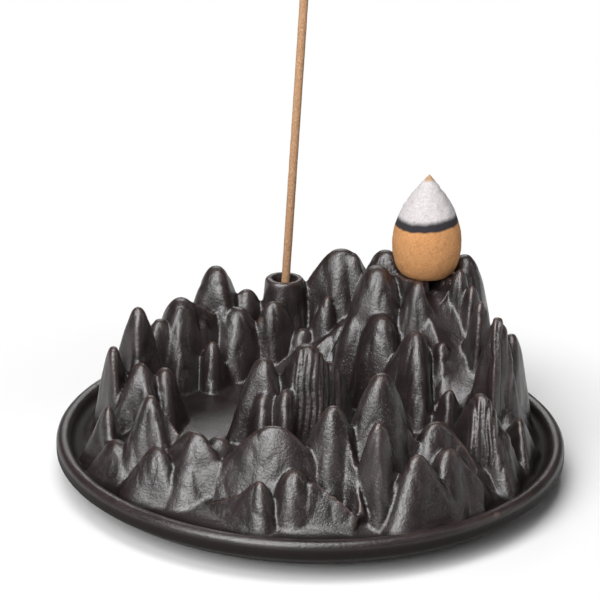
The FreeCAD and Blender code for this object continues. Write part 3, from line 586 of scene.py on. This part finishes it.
def dish():
    """The turned dish: recess, foot ring, belly, upright wall, rolled rim and gutter."""
    foot = FOOT_RADIUS - FOOT_WIDTH
    outline = [
        (0, FOOT_RECESS),
        (foot - FOOT_FILLET, FOOT_RECESS),
        (foot, FOOT_EDGE_HEIGHT),
        (foot + FOOT_EDGE_WIDTH, 0),
        (FOOT_RADIUS, 0),
    ]
    for step in range(1, BELLY_STEPS + 1):
        share = step / BELLY_STEPS
        outline.append((FOOT_RADIUS + share * (DISH_RADIUS - FOOT_RADIUS), share ** 2 * BAND_HEIGHT))
    roll = DISH_RADIUS - RIM_ROLL
    outline += arc(roll, RIM_HEIGHT - RIM_ROLL, RIM_ROLL, 0, 180, RIM_STEPS)
    inner = roll - RIM_ROLL - GUTTER_SLOPE
    outline += [
        (inner + GUTTER_FILLET_OUT, FLOOR_HEIGHT + GUTTER_FILLET_RISE),
        (inner - GUTTER_FILLET_IN, FLOOR_HEIGHT),
        (0, FLOOR_HEIGHT),
    ]
    return spun(outline, DISH_CORNERS)


def winding(angle):
    """How the edge of the ground winds round the dish, from -1.5 to 1.5."""
    return sum(size * math.sin(number * angle + shift) for number, size, shift in BANK_WAVES)


def ground():
    """The winding bank, the ring of high ground and the pool's bed."""
    # Radius, height above the floor and share of the winding.
    outline = (
        (0.0, POOL_RISE, 0.0),
        (POOL_RADIUS, POOL_RISE, 1.0),
        ((BANK_CREST + POOL_RADIUS) / 2, (BANK_RISE + POOL_RISE) / 2, SLOPE_WINDING),
        (BANK_CREST, BANK_RISE, CREST_WINDING),
        ((BANK_FOOT + BANK_CREST) / 2, BANK_MIDDLE * BANK_RISE, SLOPE_WINDING),
        (BANK_FOOT, BANK_TOE * BANK_RISE, 1.0),
        (BANK_FOOT + BANK_FLARE, 0.0, 1.0),
        (BANK_FOOT + BANK_FLARE, -ROOT_DEPTH, 1.0),
        (0.0, -ROOT_DEPTH, 0.0),
    )
    bm = spun([(radius, height) for radius, height, share in outline], GROUND_CORNERS)
    shares = {round(radius, 3): share for radius, height, share in outline}
    for corner in bm.verts:
        radius = math.hypot(corner.co.x, corner.co.y)
        angle = math.atan2(corner.co.y, corner.co.x)
        if radius > WELD:
            reach = 1 + BANK_WAVE * shares[round(radius, 3)] * winding(angle) / radius
            corner.co.x *= reach
            corner.co.y *= reach
    bmesh.ops.translate(bm, vec=(0, 0, FLOOR_HEIGHT), verts=bm.verts)
    return bm


def mixed(first, second, share):
    """A place between two places of the same kind."""
    return type(first)(*((1 - share) * a + share * b for a, b in zip(first, second)))


def bed_section(place):
    """Half of a stream bed's cross section, (out, height): sagging middle, edge, bank's toe."""
    bank = (place.height + ROOT_DEPTH) / STREAM_BANK
    return (
        (0.0, place.height - STREAM_SAG),
        (place.half_width / 2, place.height - 0.75 * STREAM_SAG),
        (place.half_width, place.height),
        (place.half_width + bank, -ROOT_DEPTH),
    )


def spur_section(place):
    """Half of a spur's cross section, (out, height): crest, hollow flank, toe."""
    toe = SPUR_FOOT + SPUR_SLOPE * place.height
    flank = [(out * toe, rise * place.height) for out, rise in SPUR_FLANK]
    return (*flank, (toe, -ROOT_DEPTH))


def swept(stations, section):
    """A solid that runs through its stations with the same kind of cross section all along."""
    steps = LEG_STEPS * (len(stations) - 1)
    corners = len(section(stations[0])) - 1
    bm = bmesh.new()
    bmesh.ops.create_grid(bm, x_segments=steps, y_segments=2 * corners, size=1)
    for corner in bm.verts:
        run = (corner.co.x + 1) / 2 * (len(stations) - 1)
        leg = min(int(run), len(stations) - 2)
        start, end = stations[leg], stations[leg + 1]
        place = mixed(start, end, run - leg)
        course = Vector((end.x - start.x, end.y - start.y)).normalized()
        beside = leg - 1 if run - leg < 0.5 else leg + 1
        if 0 <= beside < len(stations) - 1:
            start, end = stations[beside], stations[beside + 1]
            bend = Vector((end.x - start.x, end.y - start.y)).normalized()
            course = (course + abs(run - leg - 0.5) * (bend - course)).normalized()
        number = round(corner.co.y * corners)
        out, height = section(place)[abs(number)]
        out = math.copysign(out, number)
        corner.co = (place.x - course.y * out, place.y + course.x * out, FLOOR_HEIGHT + height)
    shell = bmesh.ops.extrude_face_region(bm, geom=bm.faces[:])
    for item in shell["geom"]:
        if isinstance(item, bmesh.types.BMVert):
            item.co.z = FLOOR_HEIGHT - 2 * ROOT_DEPTH
    bmesh.ops.recalc_face_normals(bm, faces=bm.faces)
    return bm


def seat_mound():
    """The mound under the cone, with its recess and vent hole."""
    top = SEAT_RISE + SEAT_LIP
    outline = [
        (0, SEAT_RISE - VENT_DEPTH),
        (VENT_HOLE, SEAT_RISE - VENT_DEPTH),
        (VENT_HOLE, SEAT_RISE - SEAT_EDGE),
        (VENT_HOLE + SEAT_EDGE, SEAT_RISE),
        (SEAT_RECESS, SEAT_RISE),
        (SEAT_RECESS + SEAT_EDGE, top),
        (SEAT_RECESS + SEAT_WALL, top),
        ((SEAT_SPREAD + SEAT_RECESS + SEAT_WALL) / 2, SEAT_WAIST * top),
        (SEAT_SPREAD, 0),
        (SEAT_SPREAD, -ROOT_DEPTH),
        (0, -ROOT_DEPTH),
    ]
    bm = spun(outline, SEAT_CORNERS)
    bmesh.ops.translate(bm, vec=(SEAT.x, SEAT.y, FLOOR_HEIGHT), verts=bm.verts)
    return bm


def stick_cup():
    """The stick's cup: rounded lip, funnel and bore, on a neck with hand-cut flats."""
    outline = [
        (0, CUP_RISE - BORE_DEPTH),
        (BORE_RADIUS, CUP_RISE - BORE_DEPTH),
        (BORE_RADIUS, CUP_RISE - CUP_FUNNEL),
        (CUP_MOUTH, CUP_RISE - MOUTH_EDGE),
    ]
    lip = (CUP_RADIUS - CUP_MOUTH) / 2
    outline += arc(CUP_MOUTH + lip, CUP_RISE - LIP_CENTRE, lip, LIP_START, 0, LIP_STEPS)
    outline += [
        (CUP_NECK, NECK_HEIGHT * CUP_RISE),
        ((CUP_NECK + CUP_FOOT) / 2, BODY_HEIGHT * CUP_RISE),
        (CUP_FOOT, 0),
        (CUP_FOOT, -ROOT_DEPTH),
        (0, -ROOT_DEPTH),
    ]
    bm = spun(outline, CUP_CORNERS)
    for corner in bm.verts:
        radius = math.hypot(corner.co.x, corner.co.y)
        if radius > CUP_MOUTH + lip and corner.co.z < CUP_RISE - LIP_HEIGHT:
            angle = math.atan2(corner.co.y, corner.co.x)
            flat = 1 + FLAT_DEPTH * math.cos(CUP_FLATS * angle)
            corner.co.x *= flat
            corner.co.y *= flat
    bmesh.ops.translate(bm, vec=(CUP.x, CUP.y, FLOOR_HEIGHT), verts=bm.verts)
    return bm


def spread(share, fullness):
    """Half width of a mountain at a share of its height, as a share of its foot."""
    left = 1 - share
    return left ** TIP_BLUNTNESS * (fullness + (1 - fullness) * left ** FOOT_FLARE)


def unit_mountain():
    """The post that each mountain is shaped from; its height runs from -1, the root, to 1, the tip."""
    outline = [(0, -1), (1, -1)]
    outline += [(1, 1 - (1 - step / PEAK_RINGS) ** RING_CROWDING) for step in range(PEAK_RINGS)]
    outline += [(0, 1)]
    return spun(outline, PEAK_CORNERS)


def mountain(post, peak):
    """One mountain, shaped from the post: it narrows to its tip, leans, and carries its ridges."""
    bm = post.copy()
    turn = math.radians(peak.turn)
    for corner in bm.verts:
        share = min(max(corner.co.z, 0), 1)
        low = min(corner.co.z, 0)
        angle = math.atan2(corner.co.y, corner.co.x)
        far = math.hypot(corner.co.x, corner.co.y)
        ridge = 1 - 2 * abs(math.sin(peak.ridges * angle / 2)) ** RIDGE_ROUNDING
        reach = far * spread(share, peak.fullness) * (1 + peak.relief * (1 - share ** 2) * ridge)
        along = peak.wide * reach * math.cos(angle)
        across = peak.deep * reach * math.sin(angle)
        corner.co = (
            peak.x + peak.lean_x * (share - 1) + along * math.cos(turn) - across * math.sin(turn),
            peak.y + peak.lean_y * (share - 1) + along * math.sin(turn) + across * math.cos(turn),
            FLOOR_HEIGHT + peak.height * share + ROOT_DEPTH * low,
        )
    return bm


def landscape():
    """Every solid of the casting in one mesh, each of them closed."""
    bm = dish()
    for part in (ground(), seat_mound(), stick_cup()):
        add_to(bm, part)
    for stations in STREAMS.values():
        add_to(bm, swept(stations, bed_section))
    for stations in SPURS.values():
        add_to(bm, swept(stations, spur_section))
    post = unit_mountain()
    for peak in MOUNTAINS:
        add_to(bm, mountain(post, peak))
    post.free()
    return bm


def keep_modifier(piece, kind, **settings):
    """Add a modifier, set it and keep its result as the piece's mesh."""
    modifier = piece.modifiers.new(kind.title(), kind)
    for name, value in settings.items():
        setattr(modifier, name, value)
    bpy.context.view_layer.update()
    result = piece.evaluated_get(bpy.context.evaluated_depsgraph_get())
    mesh = bpy.data.meshes.new_from_object(result)
    piece.modifiers.clear()
    old = piece.data
    piece.data = mesh
    bpy.data.meshes.remove(old)


def count_triangles(piece):
    """The number of triangles of a piece's mesh."""
    piece.data.calc_loop_triangles()
    return len(piece.data.loop_triangles)


def seat_ceiling(place):
    """The greatest height, in mm above the seat, that the clay has round the cone; or None."""
    out = Vector((place.x - SEAT.x, place.y - SEAT.y))
    reach = SEAT_RECESS + 2 * SEAT_WALL
    for direction in (RIGHT_GROOVE, LEFT_GROOVE):
        turn = math.radians(direction)
        along = out.x * math.cos(turn) + out.y * math.sin(turn)
        across = out.y * math.cos(turn) - out.x * math.sin(turn)
        if 0 < along < reach and abs(across) < VENT_GROOVE / 2:
            return -VENT_DEPTH
    if out.length < VENT_HOLE:
        return -VENT_DEPTH
    if out.length < SEAT_RECESS:
        return 0.0
    if out.length < CONE_BELLY + SEAT_MARGIN:
        return (out.length - SEAT_RECESS) * CONE_BELLY_HEIGHT / (CONE_BELLY - CONE_BASE)
    return None


def channel_ceiling(place):
    """The greatest height, in mm above the seat, in the channels that lead out of it; or None."""
    out = Vector((place.x - SEAT.x, place.y - SEAT.y))
    for stations in STREAMS.values():
        head = stations[0]
        course = Vector((head.x - SEAT.x, head.y - SEAT.y)).normalized()
        along = out.dot(course)
        across = abs(out.cross(course))
        if CONE_BASE < along < CHANNEL_REACH and across < CHANNEL_HALF_WIDTH:
            hollow = CHANNEL_DEPTH * ((across / CHANNEL_HALF_WIDTH) ** 2 - 1)
            return hollow - CHANNEL_FALL * (along - CONE_BASE)
    return None


def smooth_step(low, high, value):
    """From 0 at low to 1 at high, with soft ends."""
    share = min(max((value - low) / (high - low), 0), 1)
    return share * share * (3 - 2 * share)


def streaks(place, width, length, shift=0.0):
    """Noise drawn out upwards, with features of a width and a length in mm."""
    return noise.noise(Vector((place.x / width, place.y / width, place.z / length + shift)))


def hand_carving(place, normal):
    """How far the clay stands out at a place, in mm: hollows, creases that run down, flutes."""
    steep = smooth_step(STEEP_FROM, STEEP_TO, 1 - normal.z)
    high = smooth_step(FLOOR_HEIGHT + CARVED_FROM, FLOOR_HEIGHT + CARVED_TO, place.z)
    inside = 1 - smooth_step(*CARVING_ENDS, math.hypot(place.x, place.y))
    lumps = noise.noise(place / LUMP_SIZE)
    crease = min(abs(streaks(place, CREASE_WIDTH, CREASE_LENGTH)) * CREASE_SHARPNESS, 1)
    fine = streaks(place, FINE_WIDTH, FINE_LENGTH, FINE_SHIFT)
    moved = LUMP_DEPTH * lumps
    moved += steep * (CREASE_DEPTH * (crease - CREASE_LEVEL) + FINE_DEPTH * fine)
    for peak, reach in FLUTED:
        out = Vector((place.x - peak.x, place.y - peak.y))
        if out.length < reach and place.z > FLOOR_HEIGHT + FLUTE_START * peak.height:
            wander = FLUTE_WANDER * streaks(place, WANDER_WIDTH, WANDER_LENGTH)
            flute = abs(math.sin(math.pi * (out.x / FLUTE_WIDTH + wander)))
            side = smooth_step(-FLUTE_LEFT * reach, 0, out.x)
            side *= 1 - smooth_step(FLUTE_FADE * reach, reach, out.length)
            moved += steep * side * FLUTE_DEPTH * (flute - FLUTE_LEVEL)
    return moved * high * inside


def carve(piece):
    """Move every point by the hand carving, clear the room round the cone and cut the channels."""
    seat_level = FLOOR_HEIGHT + SEAT_RISE
    bm = bmesh.new()
    bm.from_mesh(piece.data)
    bm.normal_update()
    moved = []
    for corner in bm.verts:
        place = corner.co / MM
        place += corner.normal * hand_carving(place, corner.normal)
        for ceiling in (seat_ceiling(place), channel_ceiling(place)):
            if ceiling is not None and place.z > seat_level + ceiling:
                place.z = seat_level + ceiling
        moved.append(place * MM)
    for corner, place in zip(bm.verts, moved):
        corner.co = place
    bm.to_mesh(piece.data)
    bm.free()


def burner():
    """The casting: every solid run together, carved, and thinned to the export's limit."""
    piece = finished("burner_casting", landscape())
    keep_modifier(piece, "REMESH", mode="VOXEL", voxel_size=CLAY_GRAIN * MM, use_smooth_shade=True)
    keep_modifier(piece, "SMOOTH", factor=CLAY_SMOOTHING, iterations=SMOOTHING_ROUNDS)
    carve(piece)
    ratio = min(MOST_TRIANGLES / count_triangles(piece), 1)
    keep_modifier(piece, "DECIMATE", ratio=ratio, use_collapse_triangulate=True)
    for face in piece.data.polygons:
        face.use_smooth = True
    return piece


def incense_cone():
    """The pressed cone: a flat base, a full belly, a pointed top and a blind hole from below."""
    upper = CONE_HEIGHT - CONE_BELLY_HEIGHT
    outline = [
        (0, CONE_BORE_DEPTH),
        (CONE_BORE, CONE_BORE_DEPTH),
        (CONE_BORE, 0),
        (CONE_BASE - CONE_CHAMFER, 0),
    ]
    for step in range(CONE_LOWER_STEPS + 1):
        angle = math.pi / 2 * (BELLY_START + (1 - BELLY_START) * step / CONE_LOWER_STEPS)
        out = CONE_BASE + math.sin(angle) * (CONE_BELLY - CONE_BASE)
        outline.append((out, (1 - math.cos(angle)) * CONE_BELLY_HEIGHT))
    for step in range(1, CONE_UPPER_STEPS):
        share = step / CONE_UPPER_STEPS
        out = CONE_BELLY * (1 - share ** CONE_SHOULDER) * (1 - CONE_DRAW * share ** 3)
        outline.append((out, CONE_BELLY_HEIGHT + share * upper))
    outline.append((0, CONE_HEIGHT))
    bm = spun(outline, CONE_CORNERS)
    bm.normal_update()
    for corner in bm.verts:
        out = math.hypot(corner.co.x, corner.co.y)
        if out > CONE_BORE + BORE_EDGE:
            rough = sum(depth * noise.noise(corner.co / size) for depth, size in (CONE_LUMP, CONE_GRAIN))
            ash = smooth_step(*ASH_STARTS, corner.co.z)
            corner.co += corner.normal * rough * (1 + ASH_SWELL * ash) * min(corner.co.z / SKIN_START, 1)
    bmesh.ops.translate(bm, vec=(SEAT.x, SEAT.y, FLOOR_HEIGHT + SEAT_RISE), verts=bm.verts)
    return finished("cone_of_incense", bm)


def incense_stick():
    """The stick: a thin rod with hand-rolled unevenness that leans in its bore."""
    end = STICK_END * STICK_RADIUS
    chamfer = STICK_CHAMFER * STICK_RADIUS
    outline = [(0, 0), (end, 0)]
    for step in range(STICK_RINGS + 1):
        height = chamfer + (STICK_LENGTH - 2 * chamfer) * step / STICK_RINGS
        outline.append((STICK_RADIUS, height))
    outline += [(end, STICK_LENGTH), (0, STICK_LENGTH)]
    bm = spun(outline, STICK_CORNERS)
    for corner in bm.verts:
        uneven = 1 + STICK_UNEVEN * streaks(corner.co, 1, STICK_UNEVEN_LENGTH)
        corner.co.x *= uneven
        corner.co.y *= uneven
    lean = math.radians(STICK_LEAN)
    bmesh.ops.transform(bm, matrix=Matrix.Rotation(lean, 4, "Y"), verts=bm.verts)
    bore_floor = FLOOR_HEIGHT + CUP_RISE - BORE_DEPTH
    rise = bore_floor + STICK_LIFT + STICK_RADIUS * math.sin(lean)
    shift = CUP.x - BORE_DEPTH * math.sin(lean) / 2
    bmesh.ops.translate(bm, vec=(shift, CUP.y, rise), verts=bm.verts)
    return finished("stick_of_incense", bm)


class Value:
    """An output socket of a material's nodes that takes part in sums like a number."""

    def __init__(self, tree, socket=None):
        self.tree = tree
        self.socket = socket

    def node(self, kind, settings=None, inputs=None, output=0):
        """Another node: its settings first, then values or links for its sockets."""
        made = self.tree.nodes.new(kind)
        for name, value in (settings or {}).items():
            setattr(made, name, value)
        for place, value in (inputs or {}).items():
            if isinstance(value, Value):
                self.tree.links.new(value.socket, made.inputs[place])
            else:
                made.inputs[place].default_value = value
        return Value(self.tree, made.outputs[output])

    def beside(self, name):
        """Another output of the same node."""
        return Value(self.tree, self.socket.node.outputs[name])

    def sum(self, operation, first, second):
        """The result of a sum of the Math node."""
        return self.node("ShaderNodeMath", {"operation": operation}, {0: first, 1: second})

    def __add__(self, other):
        return self.sum("ADD", self, other)

    __radd__ = __add__

    def __sub__(self, other):
        return self.sum("SUBTRACT", self, other)

    def __rsub__(self, other):
        return self.sum("SUBTRACT", other, self)

    def __mul__(self, other):
        return self.sum("MULTIPLY", self, other)

    __rmul__ = __mul__

    def step(self, low, high):
        """From 0 where this is low to 1 where it is high."""
        return self.node(
            "ShaderNodeMapRange", {"interpolation_type": "SMOOTHSTEP"},
            {"Value": self, "From Min": low, "From Max": high},
        )

    def paint(self, under, over):
        """The colour under where this is 0, and over where it is 1."""
        return self.node(
            "ShaderNodeMix", {"data_type": "RGBA"}, {"Factor": self, 6: under, 7: over}, output=2
        )


def new_material(name):
    """A material with only its output, and the tree's own Value to start from."""
    material = bpy.data.materials.new(name)
    material.use_nodes = True
    material.node_tree.nodes.clear()
    return material, Value(material.node_tree)


def close_material(start, shader):
    """Lead a shader to the material's output."""
    output = start.tree.nodes.new("ShaderNodeOutputMaterial")
    start.tree.links.new(shader.socket, output.inputs["Surface"])


def coordinates(start):
    """Object coordinates in mm."""
    place = start.node("ShaderNodeTexCoord", output="Object")
    return start.node("ShaderNodeVectorMath", {"operation": "SCALE"}, {0: place, "Scale": 1 / MM})


def grain(start, place, size, detail=2.0, roughness=0.5):
    """Cloudy noise with features of a size in mm."""
    return start.node(
        "ShaderNodeTexNoise", {},
        {"Vector": place, "Scale": 1 / size, "Detail": detail, "Roughness": roughness},
    )


def bump(start, height, strength, distance):
    """A bumped normal from a height; distance in mm."""
    return start.node(
        "ShaderNodeBump", {}, {"Height": height, "Strength": strength, "Distance": distance * MM}
    )


def most(first, second):
    """The greater of two values."""
    return first.sum("MAXIMUM", first, second)


def glaze():
    """Brown-black glaze: satin, pitted, browner on edges where it runs thin and as painted highlight;
    darker and matt, as painted shade, on wall and belly, in gutter and hollows.
    """
    material, start = new_material("dark_brown_glaze")
    place = coordinates(start)
    clouds = grain(start, place, CLOUD_SIZE, detail=3.0)
    peel = grain(start, place, PEEL_SIZE, detail=3.0, roughness=0.6)
    ripple = grain(start, place, RIPPLE_SIZE)
    pits = grain(start, place, PIT_SIZE, detail=1.0).step(*PIT_RANGE)
    pointiness = start.node("ShaderNodeNewGeometry", output="Pointiness")
    # Lighter brown on edges: the glaze runs thin there, and this also stands for a painted highlight on the
    # crests.
    thin_edge_highlight = pointiness.step(*EDGE_POINTINESS)
    # Hollows, found by their pointiness, get painted shade: a darker colour and a matt glaze.
    hollow = 1 - pointiness.step(*HOLLOW_POINTINESS)
    height = start.node("ShaderNodeSeparateXYZ", {}, {"Vector": place}, output="Z")
    flat = start.node("ShaderNodeVectorMath", {"operation": "MULTIPLY"}, {0: place, 1: (1, 1, 0)})
    radius = start.node("ShaderNodeVectorMath", {"operation": "LENGTH"}, {0: flat}, output="Value")
    # Painted shade: the wall and the belly under the rim and the gutter are made darker and matt.
    wall_shade = radius.step(*WALL_RADIUS) * (1 - height.step(*WALL_TOP))
    belly_shade = 1 - height.step(*BELLY_TOP)
    gutter_shade = radius.step(*GUTTER_RADIUS) * (1 - height.step(*GUTTER_TOP)) * GUTTER_PAINTED_SHADE
    # The mask of all painted shade, which turns these parts darker and matt.
    painted_shade_mask = most(most(most(wall_shade, belly_shade), gutter_shade), hollow * HOLLOW_PAINTED_SHADE)
    colour = clouds.step(*CLOUD_RANGE).paint(GLAZE_DARK, GLAZE_LIGHT)
    # Thin glaze and painted highlight on the edges.
    colour = (thin_edge_highlight * THIN_EDGE_HIGHLIGHT_STRENGTH).paint(colour, GLAZE_THIN_AND_HIGHLIGHT)
    # Painted shade in the hollows.
    colour = (hollow * HOLLOW_SHADE_STRENGTH).paint(colour, HOLLOW_SHADE_COLOUR)
    roughness = GLAZE_ROUGHNESS + UNEVEN_SHINE * clouds + UNEVEN_SHINE * pits
    relief = peel * PEEL_RELIEF + ripple * RIPPLE_RELIEF - pits * PIT_RELIEF
    normal = bump(start, relief, *GLAZE_BUMP)
    satin = start.node(
        "ShaderNodeBsdfPrincipled", {},
        {"Base Color": colour, "Roughness": roughness, "Normal": normal,
         "Specular IOR Level": GLAZE_SPECULAR},
    )
    # The darker matt shader of the painted shade.
    painted_shade_matt = start.node(
        "ShaderNodeBsdfPrincipled", {},
        {"Base Color": clouds.paint(PAINTED_SHADE_DARK, PAINTED_SHADE_LIGHT), "Roughness": PAINTED_SHADE_ROUGHNESS,
         "Normal": normal, "Specular IOR Level": PAINTED_SHADE_SPECULAR},
    )
    shader = start.node("ShaderNodeMixShader", {}, {0: painted_shade_mask, 1: satin, 2: painted_shade_matt})
    close_material(start, shader)
    return material


def cone_powder():
    """Pressed wood powder that has burnt down: tan below, a char band, grey ash and a bare tip."""
    material, start = new_material("burnt_cone_powder")
    place = coordinates(start)
    height = start.node("ShaderNodeSeparateXYZ", {}, {"Vector": place}, output="Z")
    east = height.beside("X")
    north = height.beside("Y")
    height = height - (FLOOR_HEIGHT + SEAT_RISE)
    wander = grain(start, place, EDGE_WANDER_SIZE, detail=3.0) - 0.5
    slope = (east - SEAT.x) * (CHAR_TILT / CONE_BELLY) + (north - SEAT.y) * (CHAR_NOD / CONE_BELLY)
    level = height - slope + wander * EDGE_WANDER
    speck = grain(start, place, POWDER_SIZE, detail=3.0, roughness=0.7)
    coarse = grain(start, place, LUMPS_SIZE, detail=3.0, roughness=0.6)
    tan = speck.step(*TAN_RANGE).paint(TAN_DARK, TAN_LIGHT)
    tan = (speck.step(*TAN_SPECK_RANGE) * TAN_SPECK_STRENGTH).paint(tan, TAN_SPECK)
    tan = (coarse.step(*TAN_LUMP_RANGE) * TAN_LUMP_STRENGTH).paint(tan, TAN_LUMP)
    ash = speck.step(*ASH_RANGE).paint(ASH_DARK, ASH_LIGHT)
    ash = (coarse.step(*ASH_LUMP_RANGE) * ASH_LUMP_STRENGTH).paint(ash, ASH_LUMP)
    tip = (height + wander * TIP_WANDER).step(*TIP_STARTS)
    colour = level.step(*CHAR_STARTS).paint(tan, CHAR)
    colour = level.step(*CHAR_TURNS).paint(colour, ash)
    colour = (tip * TIP_STRENGTH).paint(colour, BARE_TIP)
    shader = start.node(
        "ShaderNodeBsdfPrincipled", {},
        {"Base Color": colour, "Roughness": CONE_ROUGHNESS,
         "Normal": bump(start, speck * GRAIN_RELIEF + coarse * LUMP_RELIEF, *CONE_BUMP)},
    )
    close_material(start, shader)
    return material


def stick_powder():
    """Light brown rolled powder with fine specks and faint bands."""
    material, start = new_material("rolled_stick_powder")
    place = coordinates(start)
    speck = grain(start, place, STICK_SPECK_SIZE, detail=3.0, roughness=0.7)
    bands = grain(start, place, STICK_BAND_SIZE)
    colour = speck.step(*STICK_RANGE).paint(STICK_DARK, STICK_LIGHT)
    colour = (bands.step(*BAND_RANGE) * BAND_STRENGTH).paint(colour, STICK_BAND)
    shader = start.node(
        "ShaderNodeBsdfPrincipled", {},
        {"Base Color": colour, "Roughness": STICK_ROUGHNESS,
         "Normal": bump(start, speck, *STICK_BUMP)},
    )
    close_material(start, shader)
    return material


def floor_paint():
    """White paper that keeps the shadow, and turns plain white to the eye further out."""
    material, start = new_material("white_paper")
    paths = start.node("ShaderNodeLightPath", output="Is Camera Ray")
    mirrored = paths.beside("Is Glossy Ray")
    through = paths.beside("Is Transmission Ray")
    seen = most(most(paths, mirrored), through)
    place = coordinates(start)
    distance = start.node(
        "ShaderNodeVectorMath", {"operation": "LENGTH"}, {0: place}, output="Value"
    )
    far = distance.step(WHITE_FROM, WHITE_TO)
    paper = start.node("ShaderNodeBsdfDiffuse", {}, {"Color": PAPER})
    white = start.node("ShaderNodeEmission", {}, {"Color": WHITE, "Strength": 1.0})
    shader = start.node("ShaderNodeMixShader", {}, {0: seen * far, 1: paper, 2: white})
    close_material(start, shader)
    return material


def studio():
    """A white floor, a dim white world and the soft lamps."""
    bm = bmesh.new()
    bmesh.ops.create_grid(bm, x_segments=1, y_segments=1, size=FLOOR_HALF)
    paper = finished("floor", bm)
    paper.data.materials.append(floor_paint())
    world = bpy.data.worlds.new("studio")
    world.use_nodes = True
    world.node_tree.nodes.clear()
    start = Value(world.node_tree)
    air = start.node("ShaderNodeBackground", {}, {"Color": WHITE, "Strength": WORLD_LIGHT})
    output = world.node_tree.nodes.new("ShaderNodeOutputWorld")
    world.node_tree.links.new(air.socket, output.inputs["Surface"])
    bpy.context.scene.world = world
    for name, place, side, power in LAMPS:
        lamp = bpy.data.lights.new(name, "AREA")
        lamp.shape = "RECTANGLE"
        lamp.size, lamp.size_y = side
        lamp.energy = power
        holder = bpy.data.objects.new(name, lamp)
        holder.location = place
        aim = LAMP_AIM - Vector(place)
        holder.rotation_euler = aim.to_track_quat("-Z", "Y").to_euler()
        bpy.context.scene.collection.objects.link(holder)


def place_camera():
    """The photograph's view."""
    yaw, pitch, roll, rise = (
        math.radians(angle) for angle in (CAMERA_YAW, CAMERA_PITCH, CAMERA_ROLL, CAMERA_RISE)
    )
    back = Vector((math.sin(yaw) * math.cos(pitch), -math.cos(yaw) * math.cos(pitch), math.sin(pitch)))
    right = Vector((math.cos(yaw), math.sin(yaw), 0))
    up = back.cross(right)
    across = right * math.cos(roll) + up * math.sin(roll)
    upright = up * math.cos(roll) - right * math.sin(roll)
    eye = Vector((CAMERA_SIDESTEP, -CAMERA_DISTANCE * math.cos(rise),
                  CAMERA_DISTANCE * math.sin(rise) + RIM_HEIGHT)) * MM
    lens = bpy.data.cameras.new("camera")
    lens.sensor_width = SENSOR
    lens.lens = CAMERA_FOCUS * SENSOR / PHOTO_SIDE
    lens.clip_end = FARTHEST_SEEN
    camera = bpy.data.objects.new("camera", lens)
    camera.matrix_world = Matrix.Translation(eye) @ Matrix((across, upright, back)).transposed().to_4x4()
    bpy.context.scene.collection.objects.link(camera)
    bpy.context.scene.camera = camera


def dress(piece, material, node):
    """Give a piece its material and let it stand for its CAD node."""
    piece.data.materials.clear()
    piece.data.materials.append(material)
    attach(piece, "root")
    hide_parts(node)


place_camera()
studio()
dress(burner(), glaze(), "burner")
dress(incense_cone(), cone_powder(), "incense_cone")
dress(incense_stick(), stick_powder(), "incense_stick")
bpy.context.scene.view_settings.view_transform = "Standard"
